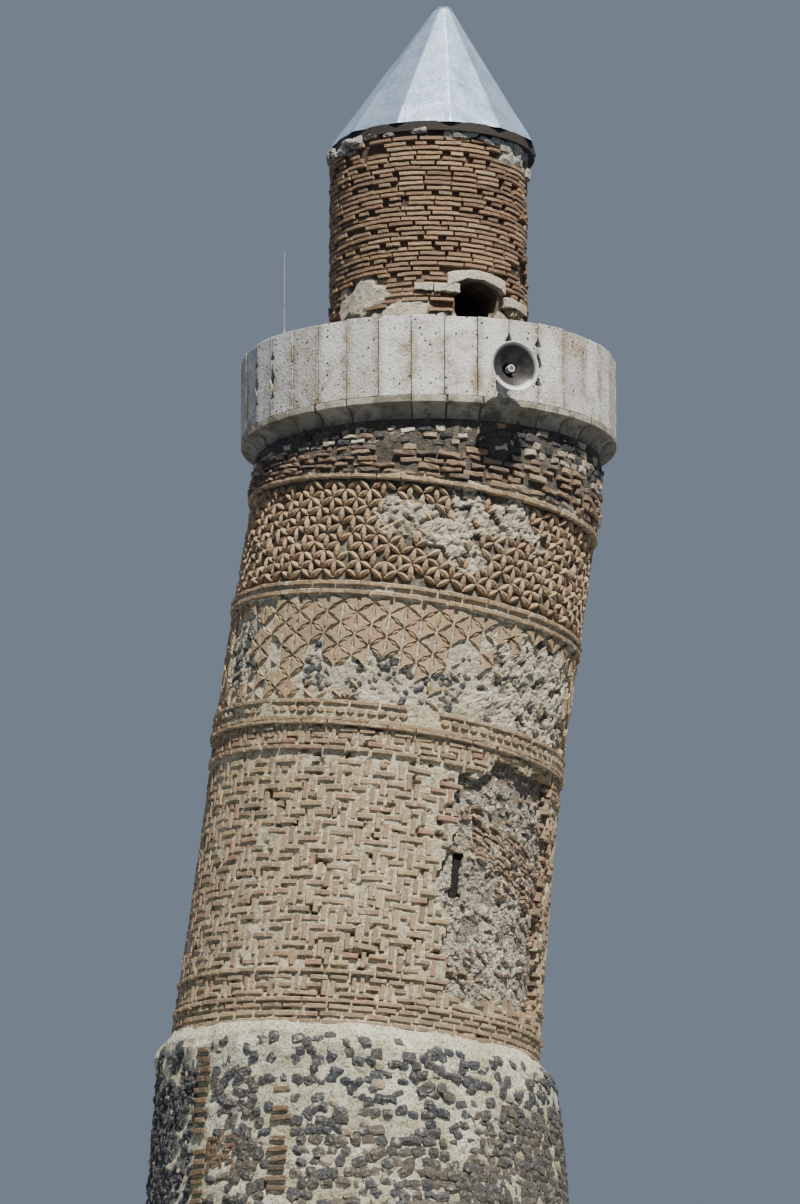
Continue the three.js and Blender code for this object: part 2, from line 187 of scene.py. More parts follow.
def join(pieces, name):
    bpy.ops.object.select_all(action="DESELECT")
    for piece in pieces:
        piece.select_set(True)
    bpy.context.view_layer.objects.active = pieces[0]
    bpy.ops.object.join()
    pieces[0].name = name
    bpy.ops.object.select_all(action="DESELECT")
    return pieces[0]


def model(kind, name, **settings):
    """Starts a piece from one of the basic shapes."""
    getattr(bpy.ops.mesh, f"primitive_{kind}_add")(**settings)
    bpy.ops.object.transform_apply()
    piece = bpy.context.object
    piece.name = name
    return piece


def shape_block(name, arris_depth, face_long, face_high, cuts=0):
    """A block one unit each way. Its face, at y 0, is drawn in to soft arrises; its back is open."""
    block = model("cube", name, size=1, location=(0, (1 + arris_depth) / 2, 0),
                  scale=(1, 1 - arris_depth, 1))
    edit(block)
    open_at(block, lambda middle, normal: normal.y > 0.9)
    pick(block, lambda middle, normal: normal.y < -0.9)
    extrude(-arris_depth)
    bpy.ops.transform.resize(value=(face_long, 1, face_high))
    for number in range(cuts):
        slice_at(((number + 1) / (cuts + 1) - 0.5, 0, 0), (1, 0, 0))
    done()
    return block


def make_laying():
    """Geometry nodes that put one modelled shape on every point, by its size and turn."""
    laying = bpy.data.node_groups.new("laying", "GeometryNodeTree")
    laying.interface.new_socket("Geometry", in_out="INPUT", socket_type="NodeSocketGeometry")
    shape = laying.interface.new_socket("Shape", in_out="INPUT", socket_type="NodeSocketObject")
    laying.interface.new_socket("Geometry", in_out="OUTPUT", socket_type="NodeSocketGeometry")
    points = laying.nodes.new("NodeGroupInput")
    result = laying.nodes.new("NodeGroupOutput")
    vector = {"data_type": "FLOAT_VECTOR"}
    size = put(laying, "GeometryNodeInputNamedAttribute", vector, Name="size")
    turn = put(laying, "GeometryNodeInputNamedAttribute", vector, Name="turn")
    model = put(laying, "GeometryNodeObjectInfo", Object=points.outputs["Shape"])
    spin = put(laying, "FunctionNodeEulerToRotation", Euler=turn.outputs["Attribute"])
    laid = put(laying, "GeometryNodeInstanceOnPoints", Points=points.outputs["Geometry"],
               Instance=model.outputs["Geometry"], Rotation=spin.outputs["Rotation"],
               Scale=size.outputs["Attribute"])
    joined = put(laying, "GeometryNodeRealizeInstances", Geometry=laid.outputs["Instances"])
    laying.links.new(joined.outputs["Geometry"], result.inputs["Geometry"])
    return laying, shape.identifier


laying, shape_input = make_laying()


def lay(name, shape, places):
    """One mesh of copies of a shape. A place is across, out, up, long, deep, high, turn and shade,
    on a wall laid out flat: x across, -y out, z up."""
    table = np.array(places, dtype=float)
    mesh = bpy.data.meshes.new(name)
    points = np.column_stack((table[:, 0], -table[:, 1], table[:, 2]))
    mesh.from_pydata(points.tolist(), [], [])
    turns = np.zeros((len(table), 3))
    turns[:, 1] = -table[:, 6]
    for label, kind, values in (("size", "FLOAT_VECTOR", table[:, 3:6]), ("turn", "FLOAT_VECTOR", turns),
                                ("shade", "FLOAT", table[:, 7])):
        attribute = mesh.attributes.new(label, kind, "POINT")
        attribute.data.foreach_set("value" if kind == "FLOAT" else "vector", values.ravel())
    piece = bpy.data.objects.new(name, mesh)
    bpy.context.scene.collection.objects.link(piece)
    bpy.context.view_layer.objects.active = piece
    laid = piece.modifiers.new("laying", "NODES")
    laid.node_group = laying
    laid[shape_input] = shape
    bpy.ops.object.modifier_apply(modifier="laying")
    for label in ("size", "turn"):
        if label in piece.data.attributes:
            piece.data.attributes.remove(piece.data.attributes[label])
    return piece


def corners(piece):
    """A piece's corner points as one array."""
    flat = np.empty(len(piece.data.vertices) * 3)
    piece.data.vertices.foreach_get("co", flat)
    return flat.reshape(-1, 3)


def move_corners(piece, points):
    piece.data.vertices.foreach_set("co", points.ravel())
    piece.data.update()


def mark(piece, name, values):
    """Gives each corner of a piece a value under a name, for its material to read."""
    piece.data.attributes.new(name, "FLOAT", "POINT").data.foreach_set("value", values)


def turned(points, turn, middle=0.0):
    """Points turned about the upright axis, then moved across."""
    across = points[:, 0] * math.cos(turn) - points[:, 1] * math.sin(turn)
    depth = points[:, 0] * math.sin(turn) + points[:, 1] * math.cos(turn)
    return np.column_stack((across + middle, depth, points[:, 2]))


def weather(piece, amount, grain):
    """Moves every corner a little, by smooth noise, so that no two copies are alike."""
    points = corners(piece)
    shift = [noise.noise_vector(Vector(point) * grain) for point in points]
    move_corners(piece, points + np.array(shift) * amount)


def fit(piece, slot, material, *nodes):
    """Sets a finished piece on the tower in its material, in place of the CAD nodes named."""
    piece.data.materials.clear()
    piece.data.materials.append(material)
    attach(piece, "root")
    if nodes:
        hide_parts(*nodes)


def dress(material, *nodes):
    """Gives CAD nodes that stay in sight their material."""
    for node in nodes:
        tower[node].data.materials.clear()
        tower[node].data.materials.append(material)


def tint(tree, share, under, over, kind="MIX"):
    """Mixes two colours by a share, each a value or another node's output."""
    node = tree.nodes.new("ShaderNodeMix")
    node.data_type = "RGBA"
    node.blend_type = kind
    for slot, value in ((0, share), (6, under), (7, over)):
        if isinstance(value, bpy.types.NodeSocket):
            tree.links.new(value, node.inputs[slot])
        else:
            node.inputs[slot].default_value = value
    return node.outputs[2]


def surface(name, roughness, metallic=0.0):
    """A new look, and the place on the object that its patterns are laid out by."""
    material, tree, shader = look(name, roughness, metallic)
    return material, tree, shader, tree.nodes.new("ShaderNodeTexCoord").outputs["Object"]


def marked(tree, name):
    """What the mesh carries at each corner under a name, such as each copy's own shade."""
    return put(tree, "ShaderNodeAttribute", {"attribute_name": name}).outputs["Fac"]


def mottle(tree, place, scale, detail=5.0, rough=0.6):
    """Smooth noise from 0 to 1 over the object."""
    return put(tree, "ShaderNodeTexNoise", Vector=place, Scale=scale, Detail=detail,
               Roughness=rough).outputs["Fac"]


def step(tree, value, low, high):
    """Stretches a value so that low becomes 0 and high becomes 1."""
    return put(tree, "ShaderNodeMapRange", {"clamp": True}, Value=value, From_Min=low,
               From_Max=high).outputs["Result"]


def coat(tree, shader, color, height, distance, strength=1.0):
    """Gives a look its colour, and small bumps by a height."""
    tree.links.new(color, shader.inputs["Base Color"])
    bump = put(tree, "ShaderNodeBump", Height=height, Distance=distance, Strength=strength)
    tree.links.new(bump.outputs["Normal"], shader.inputs["Normal"])


def times(tree, value, factor):
    node = put(tree, "ShaderNodeMath", {"operation": "MULTIPLY"})
    for socket, part in zip(node.inputs, (value, factor)):
        if isinstance(part, bpy.types.NodeSocket):
            tree.links.new(part, socket)
        else:
            socket.default_value = part
    return node.outputs[0]


def ramp(tree, value, stops):
    """Colours along a value; a stop is a position and a colour."""
    node = put(tree, "ShaderNodeValToRGB", Fac=value)
    while len(node.color_ramp.elements) < len(stops):
        node.color_ramp.elements.new(0.5)
    for element, (position, color) in zip(node.color_ramp.elements, stops):
        element.position = position
        element.color = color
    return node.outputs["Color"]


def shades(tree, *colors):
    """Colours by each copy's own shade, in even steps."""
    stops = [(index / (len(colors) - 1), color) for index, color in enumerate(colors)]
    return ramp(tree, marked(tree, "shade"), stops)


def mortar_look(name, pale, grey, grit, pits=0.4):
    """Lime mortar: blotches, sandy grit, dark pits, and painted shade where the mesh is marked deep."""
    material, tree, shader, place = surface(name, 0.95)
    blotch = step(tree, mottle(tree, place, 2.2, 6), 0.35, 0.68)
    color = tint(tree, blotch, pale, grey)
    sand = put(tree, "ShaderNodeTexVoronoi", Vector=place, Scale=55, Randomness=1).outputs["Color"]
    sandy = put(tree, "ShaderNodeSeparateColor", Color=sand).outputs["Red"]
    color = tint(tree, step(tree, sandy, 0.5, 1.0), color, grit)
    hollow = step(tree, mottle(tree, place, 10, 5, 0.65), pits - 0.07, pits - 0.13)
    color = tint(tree, hollow, color, rgb(92, 80, 64))
    fine = mottle(tree, place, 30, 6, 0.7)
    color = tint(tree, step(tree, fine, pits, pits - 0.12), color, rgb(66, 59, 48))
    # Painted shade: darker brown where the mesh is marked deep, in hollows and pockets.
    color = tint(tree, times(tree, marked(tree, "deep"), 0.85), color, rgb(58, 49, 40))
    coat(tree, shader, color, fine, 0.025)
    return material


PLINTH_COURSE = 0.34
BLOCK_LENGTH = 0.62
BLOCK_JOINT = 0.022
BLOCK_DEPTH = 0.10
BLOCK_PROUD = 0.022
block_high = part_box("plinth_left_block")[1]
PLINTH_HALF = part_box("plinth_footing")[1].x
doorway_half = -block_high.x
doorway_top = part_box("plinth_door_lintel")[0].z

plinth_mortar = mortar_look("plinth_mortar", rgb(186, 178, 158), rgb(150, 145, 130), rgb(120, 112, 96))
plinth_stone, tree, shader, place = surface("plinth_stone", 0.9)
color = shades(tree, rgb(150, 143, 126), rgb(178, 170, 152), rgb(196, 190, 174))
grain = mottle(tree, place, 16, 8, 0.7)
color = tint(tree, step(tree, mottle(tree, place, 1.7, 5), 0.42, 0.75), color, rgb(128, 124, 112))
color = tint(tree, step(tree, grain, 0.42, 0.28), color, rgb(92, 86, 74))
coat(tree, shader, color, grain, 0.03)

QUOIN_DEPTH = 0.34
LINTEL_LENGTH = 1.45
block = shape_block("block", arris_depth=0.2, face_long=0.94, face_high=0.86, cuts=2)
rng = random.Random(3)
courses = round(block_high.z / PLINTH_COURSE)
course_height = block_high.z / courses
lintel_course = round(doorway_top / course_height)
sides = []
for side in range(4):
    places = []
    for course in range(courses):
        up = (course + 0.5) * course_height
        through = (course + side) % 2 == 0
        reach = PLINTH_HALF + BLOCK_PROUD - (0 if through else QUOIN_DEPTH)
        gap = 0
        if side == 2 and up < doorway_top:
            gap = doorway_half
        if side == 2 and course == lintel_course:
            gap = LINTEL_LENGTH / 2
            places.append((0, BLOCK_PROUD, up, LINTEL_LENGTH - BLOCK_JOINT, QUOIN_DEPTH,
                           course_height - BLOCK_JOINT, 0, 0.8))
        runs = [(-reach, -gap), (gap, reach)] if gap else [(-reach, reach)]
        for left, right in runs:
            count = max(1, round((right - left) / BLOCK_LENGTH))
            cuts = [left + (right - left) * (index + rng.uniform(-0.2, 0.2)) / count
                    for index in range(1, count)]
            edges = [left, *cuts, right]
            for low, high in zip(edges, edges[1:]):
                end_block = through and (low == -reach or high == reach)
                out = BLOCK_PROUD + rng.uniform(-0.006, 0.004)
                places.append(((low + high) / 2, out, up, high - low - BLOCK_JOINT,
                               QUOIN_DEPTH if end_block else BLOCK_DEPTH, course_height - BLOCK_JOINT,
                               rng.uniform(-0.004, 0.004), rng.random()))
    face = lay("plinth_blocks_side", block, places)
    points = corners(face)
    points[:, 1] -= PLINTH_HALF
    move_corners(face, turned(points, side * math.pi / 2))
    sides.append(face)
plinth_blocks = join(sides, "plinth_blocks")
weather(plinth_blocks, 0.02, 3.1)
points = corners(plinth_blocks)
points[:, 2] = np.maximum(points[:, 2], 0.002)
move_corners(plinth_blocks, points)
fit(plinth_blocks, "plinth_stone", plinth_stone)
dress(plinth_mortar, "plinth_footing", "plinth_left_block", "plinth_right_block", "plinth_front_block",
      "plinth_door_lintel")

# The drum
# A round foot of black basalt rubble in pale lime mortar, battered, with a mortar haunch against the
# shaft. Two upright strips of stacked brick and a small patch of herringbone are built into its front.

DRUM_HEIGHTS = (3.40, 5.60, 6.62, 6.82, 6.95, 7.06)
DRUM_RADII = (2.285, 2.125, 2.052, 2.035, 1.985, 1.885)
DRUM_CENTRES = (0.0, 0.0, 0.0, -0.01, -0.035, -0.04)
DRUM_TILTS = (0.0, 0.0, 3.0, 3.6, 3.8, 4.0)
DRUM_RADIUS = 2.1
DRUM_BED = (3.402, 7.06)
FULL_TURN = 2 * math.pi


def wall_of(heights, radii, middles, tilts):
    """A round wall that leans to the right, from its profile up the front."""
    def wall(angle, height, out):
        """A place on the wall, by the angle round from the front and the height at the front."""
        tilt = np.radians(np.interp(height, heights, tilts))
        reach = np.interp(height, heights, radii) + out
        across = reach * np.sin(angle)
        return np.column_stack((np.interp(height, heights, middles) + across * np.cos(tilt),
                                -reach * np.cos(angle), height - across * np.sin(tilt)))
    return wall


DRUM = (wall_of(DRUM_HEIGHTS, DRUM_RADII, DRUM_CENTRES, DRUM_TILTS), DRUM_RADIUS)


def wrap(piece, wall, radius):
    """Rolls a piece that lies flat round a wall."""
    flat = corners(piece)
    move_corners(piece, wall(flat[:, 0] / radius, flat[:, 2], -flat[:, 1]))


def lay_round(name, shape, places, wall, radius, wear, grain):
    """Lays copies of a shape, rolls them round a wall and weathers them."""
    piece = lay(name, shape, places)
    wrap(piece, wall, radius)
    weather(piece, wear, grain)
    return piece


def clamp(value):
    return min(1, max(0, value))


def spot_at(angle, height, radius=1.8):
    """The point of an upright cylinder at which the noise for a wall is read."""
    return Vector((radius * math.sin(angle), -radius * math.cos(angle), height))


def spread(name, left, right, low, high, cell):
    """A flat grid that faces -y, with cells of about one size."""
    across = max(2, round((right - left) / cell))
    up = max(2, round((high - low) / cell))
    bpy.ops.mesh.primitive_grid_add(x_subdivisions=across, y_subdivisions=up, size=1,
                                    location=((left + right) / 2, 0, (low + high) / 2),
                                    rotation=(math.pi / 2, 0, 0))
    grid = bpy.context.object
    grid.name = name
    grid.scale = (right - left, high - low, 1)
    bpy.ops.object.transform_apply()
    return grid


def mark_deep(piece, reliefs, dark_below):
    """Marks how deep each corner lies, for the painted shade in the mortar's hollows."""
    shares = [clamp((dark_below - relief) / 0.02) for relief in reliefs]
    mark(piece, "deep", shares)


def mortar_bed(name, wall, radius, low, high, cell, relief, depth, dark_below=-0.03):
    """A closed skin round a wall: a grid with relief, rolled round, its rims turned in and joined."""
    bed = spread(name, -math.pi * radius, math.pi * radius, low, high, cell)
    flat = corners(bed)
    for corner in flat:
        angle = corner[0] / radius
        spot = spot_at(angle, corner[2], radius)
        corner[1] = -relief(angle, corner[2], spot)
        if low + cell < corner[2] < high - cell:
            stray = noise.noise_vector(spot * 9) * cell * 0.7
            corner[0] += stray.x
            corner[2] += stray.z
    mark_deep(bed, -flat[:, 1], dark_below)
    move_corners(bed, flat)
    wrap(bed, wall, radius)
    edit(bed, "VERT")
    bpy.ops.mesh.select_all(action="SELECT")
    bpy.ops.mesh.remove_doubles(threshold=0.0005)
    bpy.ops.mesh.select_all(action="DESELECT")
    bpy.ops.mesh.select_mode(type="EDGE")
    bpy.ops.mesh.select_non_manifold()
    bpy.ops.mesh.extrude_region_move()
    bpy.ops.object.mode_set(mode="OBJECT")
    rims = [corner for corner in bed.data.vertices if corner.select]
    for foot in (True, False):
        loop = [corner for corner in rims if (corner.co.z < (low + high) / 2) == foot]
        middle = sum((corner.co for corner in loop), Vector()) / len(loop)
        for corner in loop:
            inward = Vector((middle.x - corner.co.x, middle.y - corner.co.y, 0)).normalized()
            corner.co += inward * depth
    bpy.ops.object.mode_set(mode="EDIT")
    bpy.ops.mesh.bridge_edge_loops()
    done()
    return bed


def drum_relief(angle, height, spot):
    """The drum's mortar: rough, with lumps on the haunch and a ragged ledge at its top."""
    rough = noise.noise(spot * 7.3) * 0.012 + noise.noise(spot * 19) * 0.010
    ledge = max(0, noise.noise(Vector((spot.x * 2.2, spot.y * 2.2, 4)))) * 0.05 if height > 6.84 else 0
    lumpy = max(0, noise.noise(spot * 4.5)) * 0.06 * clamp((height - 6.5) * 4)
    lumpy *= min(1, max(0.3, 0.5 - spot.x))
    return noise.noise(spot * 2.1) * 0.020 + rough - ledge + lumpy - 0.006


drum_mortar = mortar_look("drum_mortar", rgb(212, 209, 190), rgb(166, 160, 124), rgb(128, 123, 92), 0.43)
drum_bed = mortar_bed("drum_mortar_bed", *DRUM, *DRUM_BED, cell=0.045, relief=drum_relief, depth=0.16)
fit(drum_bed, "rubble", drum_mortar, "drum_front", "drum_right", "drum_back", "drum_left")

basalt, tree, shader, place = surface("basalt", 0.85)
color = ramp(tree, marked(tree, "shade"), [
    (0.0, rgb(40, 43, 48)), (0.30, rgb(62, 64, 66)), (0.55, rgb(68, 64, 57)), (0.80, rgb(86, 79, 66)),
    (1.0, rgb(148, 138, 112))])
grain = mottle(tree, place, 34, 6, 0.7)
color = tint(tree, step(tree, grain, 0.52, 0.72), color, rgb(150, 144, 130))
color = tint(tree, step(tree, mottle(tree, place, 7, 5), 0.60, 0.70), color, rgb(178, 170, 150))
coat(tree, shader, color, grain, 0.014)

bpy.ops.mesh.primitive_cube_add(size=1, location=(0, 0.5, 0))
cobble = bpy.context.object
cobble.name = "cobble"
edit(cobble)
bpy.ops.mesh.select_all(action="SELECT")
bpy.ops.mesh.subdivide(number_cuts=1)
bpy.ops.transform.tosphere(value=0.55, center_override=(0, 0.5, 0))
done()
cobble_points = corners(cobble)
cobble_points -= (0, cobble_points[:, 1].min(), 0)
move_corners(cobble, cobble_points)

BRICK_STRIPS = ((-48.0, 5.1, 6.90, 0.185), (-21.0, 4.3, 6.46, 0.20))
STRIP_COURSE = 0.096
HERRINGBONE_PATCH = (-45.0, -34.0, 5.62, 5.92)
DRUM_METRES_PER_DEGREE = 0.0367
BRICKWORK_MARGIN = 0.035
FIRST_ROW = 3.47
STONE_ROWS_HEIGHT = 6.92 - 3.45
CROWDED = (-104, -49, 6.78)
PACKED = (27, 110, 6.50)
COURSED_TOP = 5.86
COURSED_RISE_AT_BACK = 0.52
rng = random.Random(11)


def drum_zone(angle, height):
    """How the drum's stones lie at a place: small and crowded on the left, packed on the right, coursed
    low down, or strewn in smooth mortar."""
    spot = spot_at(angle, height, 2)
    ragged = noise.noise(spot * 0.9) * 0.30 + noise.noise(spot * 3) * 0.10
    degrees = math.degrees(angle)
    level = COURSED_TOP + (COURSED_RISE_AT_BACK if degrees > 100 or degrees < -110 else 0)
    if CROWDED[0] < degrees < CROWDED[1] and height < CROWDED[2] + ragged:
        return "crowded"
    if PACKED[0] < degrees + ragged * 30 < PACKED[1] and height < PACKED[2] + ragged:
        return "packed"
    return "coursed" if height < level + ragged else "strewn"


def on_brickwork(angle, up):
    degrees = math.degrees(angle)
    left, right, low, high = HERRINGBONE_PATCH
    in_strip = any(abs(degrees - at) * DRUM_METRES_PER_DEGREE < wide / 2 + BRICKWORK_MARGIN
                   and foot < up < top for at, foot, top, wide in BRICK_STRIPS)
    return in_strip or (left < degrees < right and low < up < high)


def rubble_rows(kind, row_height, stone_length, crowd, tones, spare, fill=1.0):
    """Stones of one kind of walling, in rough rows. Crowd gives the share of places filled at a height;
    tones are the lowest and the highest shade."""
    places = []
    for row in range(int(STONE_ROWS_HEIGHT / row_height)):
        around = round(FULL_TURN * DRUM_RADIUS / stone_length)
        for column in range(around):
            angle = (column + (row % 2) / 2 + rng.uniform(-0.24, 0.24)) / around * FULL_TURN
            angle = (angle + math.pi) % FULL_TURN - math.pi
            up = FIRST_ROW + (row + 0.5 + rng.uniform(-spare, spare)) * row_height
            if drum_zone(angle, up) != kind or on_brickwork(angle, up) or rng.random() > crowd(up):
                continue
            long = stone_length * rng.uniform(0.72, 1.14) * fill
            shade = rng.uniform(*tones)
            if rng.random() < 0.05:
                shade = 1.0
            places.append((angle * DRUM_RADIUS, rng.uniform(0.008, 0.028), up, long, 0.09,
                           row_height * rng.uniform(0.80, 1.06) * fill, rng.gauss(0, 0.22), shade))
    return places


coursed = rubble_rows("coursed", 0.106, 0.136, lambda up: 0.90, (0.25, 0.84), 0.12, 1.04)
coursed += rubble_rows("packed", 0.096, 0.116, lambda up: 0.985, (0.36, 0.80), 0.07, 1.14)
coursed += rubble_rows("strewn", 0.098, 0.125, lambda up: 0.64 - 0.7 * max(0, up - 6.70), (0.05, 0.62),
                       0.34)
crowded = rubble_rows("crowded", 0.072, 0.088, lambda up: 0.90, (0.0, 0.42), 0.20)
for name, places in (("drum_coursed_stones", coursed), ("drum_crowded_stones", crowded)):
    fit(lay_round(name, cobble, places, *DRUM, wear=0.022, grain=13), "rubble", basalt)


def brick_look(name, colors, mortar, smear, grime=0.35):
    """Fired brick: each brick its own shade, fine grain, mortar left on it and dark weathering."""
    material, tree, shader, place = surface(name, 0.9)
    color = shades(tree, *colors)
    grain = mottle(tree, place, 42, 6, 0.7)
    color = tint(tree, step(tree, grain, 0.34, 0.70), color, rgb(205, 190, 165), "SOFT_LIGHT")
    color = tint(tree, step(tree, grain, 0.42, 0.30), color, rgb(72, 58, 48))
    patches = step(tree, mottle(tree, place, 1.6, 5), 0.52, 0.72)
    color = tint(tree, times(tree, patches, grime), color, rgb(84, 76, 66))
    left_on = step(tree, mottle(tree, place, 15, 7, 0.75), smear, smear + 0.06)
    color = tint(tree, left_on, color, mortar)
    coat(tree, shader, color, grain, 0.014)
    return material


strip_brick = brick_look("strip_brick", (rgb(92, 78, 62), rgb(116, 98, 78), rgb(80, 70, 58)),
                         rgb(180, 174, 152), smear=0.58, grime=0.3)
brick = shape_block("brick", arris_depth=0.12, face_long=0.94, face_high=0.74, cuts=2)
places = []
for at, low, high, wide in BRICK_STRIPS:
    for course in range(int((high - low) / STRIP_COURSE)):
        up = low + (course + 0.5) * STRIP_COURSE
        if rng.random() < 0.12:
            continue
        shift = math.sin(up * 2.3 + at) * 0.02
        places.append((math.radians(at) * DRUM_RADIUS + shift + rng.uniform(-0.02, 0.02),
                       rng.uniform(0.016, 0.036), up + rng.uniform(-0.008, 0.008),
                       wide * rng.uniform(0.72, 1.08), 0.09, 0.052, rng.gauss(0, 0.05), rng.random()))
left, right, low, high = HERRINGBONE_PATCH
for column in range(7):
    for row in range(4):
        across = math.radians(left) * DRUM_RADIUS + (column + 0.5) * 0.056
        up = low + 0.05 + row * 0.075 + (column % 2) * 0.03
        upright = column % 3 == 0
        if rng.random() < 0.25:
            continue
        places.append((across, rng.uniform(0.002, 0.018), up, rng.uniform(0.09, 0.13), 0.08, 0.042,
                       (math.pi / 2 if upright else 0) + rng.gauss(0, 0.12), rng.random()))
fit(lay_round("drum_brick_strips", brick, places, *DRUM, wear=0.008, grain=21), "brick", strip_brick)

# The lower shaft
# A lime mortar bed with fired bricks pressed into it: plain courses at the foot, a meander frieze, a tall
# field of herringbone and a second meander frieze, with rounded courses between. On the right of the
# front a strip of the facing has fallen away down to the wall's rubble core.

SHAFT_HEIGHTS = (6.90, 7.24, 7.85, 9.15, 10.30, 11.40, 12.64, 12.78, 13.285)
SHAFT_MIDDLES = (-0.047, -0.011, 0.055, 0.194, 0.318, 0.482, 0.667, 0.684, 0.728)
SHAFT_TILTS = (3.8, 4.4, 5.0, 6.2, 7.3, 7.3, 6.8, 5.0, 0.0)
SHAFT_RADII = (1.888, 1.876, 1.852, 1.815, 1.805, 1.803, 1.803, 1.805, 1.806)
SHAFT_RADIUS = 1.83

SHAFT = (wall_of(SHAFT_HEIGHTS, SHAFT_RADII, SHAFT_MIDDLES, SHAFT_TILTS), SHAFT_RADIUS)

FOOT_COURSES = (7.02, 7.25)
FOOT_RING = 7.272
FRIEZE = (7.297, 7.545)
FRIEZE_RING = 7.568
HERRINGBONE = (7.60, 9.79)
FIELD_RING = 9.819
UPPER_FRIEZE = (9.845, 10.052)
WAIST_RING = 10.076
LOWER_BED = (6.97, 10.31)

STRIP_LEFT = math.radians(25.5)
STRIP_RIGHT = math.radians(77)
STRIP_FOOT = 7.30
STRIP_TOP = (9.74, 9.97)
MOUTH_MIDDLE = 29.3
MOUTH_HALF_WIDTH = 0.062
MOUTH_LEVELS = (8.465, 8.945)
METRES_PER_DEGREE = 0.032


def in_lost_strip(angle, height):
    """How far inside the fallen strip a place is, in metres; less than nothing outside it."""
    ragged = noise.noise(Vector((angle * 4, height * 2.4, 5.0))) * 0.10
    if height < 7.62:
        ragged -= (7.62 - height) * 0.9 * (1 + noise.noise(Vector((angle * 6, 0, 8))))
    ragged += noise.noise(Vector((angle * 14, height * 9, 2.0))) * 0.05
    rise = clamp((math.degrees(angle) - 35) / 6)
    top = STRIP_TOP[0] + (STRIP_TOP[1] - STRIP_TOP[0]) * rise
    right = STRIP_RIGHT + 0.05 * math.sin(height * 5)
    left = STRIP_LEFT - 0.055 * max(0, 1 - ((height - 8.70) / 0.42) ** 2)
    return min((angle - left) * 1.8, (right - angle) * 1.8, height - STRIP_FOOT, top - height) + ragged


def in_slit(angle, height, spare=0.03):
    """Whether a place is in the narrow window, or within a little of it."""
    across = abs(math.degrees(angle) - MOUTH_MIDDLE) * METRES_PER_DEGREE
    return across < MOUTH_HALF_WIDTH + spare and MOUTH_LEVELS[0] - spare < height < MOUTH_LEVELS[1] + spare


def lower_relief(angle, height, spot):
    inside = in_lost_strip(angle, height)
    if inside > 0:
        return -0.14
    worn = max(0, noise.noise(spot * 1.3 + Vector((4, 0, 0))) - 0.25) * 0.05
    pits = max(0, noise.noise(spot * 10 + Vector((0, 3, 0))) - 0.22) * 0.11
    rough = noise.noise(spot * 6) * 0.007 + noise.noise(spot * 17) * 0.008
    if height > WAIST_RING:
        return 0.006 + rough * 1.5 + noise.noise(spot * 2.5) * 0.020
    return -0.010 - worn - pits + rough


shaft_mortar = mortar_look("shaft_mortar", rgb(212, 201, 170), rgb(180, 172, 142), rgb(146, 132, 104), 0.43)
lower_bed = mortar_bed("lower_shaft_mortar_bed", *SHAFT, *LOWER_BED, cell=0.029, relief=lower_relief,
                       depth=0.62)
fit(lower_bed, "brick", shaft_mortar, "lower_facing_front", "lower_facing_right", "lower_facing_back",
    "lower_facing_stump")

FACING_COLORS = (rgb(146, 131, 106), rgb(164, 147, 118), rgb(138, 125, 104), rgb(158, 128, 108),
                 rgb(126, 115, 97), rgb(174, 157, 126), rgb(146, 117, 99))
facing_brick = brick_look("facing_brick", FACING_COLORS, rgb(196, 186, 158), smear=0.56, grime=0.25)

FIELD_COLUMNS = 128
COLUMN_WIDTH = FULL_TURN * SHAFT_RADIUS / FIELD_COLUMNS
FIELD_UNIT = 0.0885
ZIGZAG_COLUMNS = 8
ZIGZAG_APEX = math.radians(-21.7)
APEX_HEIGHT = 9.246
rng = random.Random(5)


def is_worn(angle, height, share):
    """Whether a brick at a place has been lost: by patches, more of them where share is larger."""
    spot = spot_at(angle, height)
    patches = noise.noise(spot * 1.5 + Vector((0, 7, 0))) * 0.65 + noise.noise(spot * 4) * 0.50
    return patches + rng.uniform(-0.25, 0.25) > 0.60 - share


def field_brick(across, up, long, high, upright=False, loose=1.0):
    """One brick of the pattern, laid by hand: a little off its place, its length and its level."""
    out = rng.uniform(0.000, 0.009) + (0.006 if not upright and rng.random() < 0.4 else 0)
    long *= rng.uniform(0.88, 1.06)
    turn = rng.gauss(0, 0.035) * loose + (math.pi / 2 if upright else 0)
    return (across + rng.gauss(0, 0.005) * loose, out, up + rng.gauss(0, 0.005) * loose, long, 0.07,
            high * rng.uniform(0.86, 1.12), turn, rng.random())


def zigzag_height(column):
    """Height of the zigzag's line at a column, in units: down four columns, then up four."""
    step = column % ZIGZAG_COLUMNS
    return -min(step, ZIGZAG_COLUMNS - step)


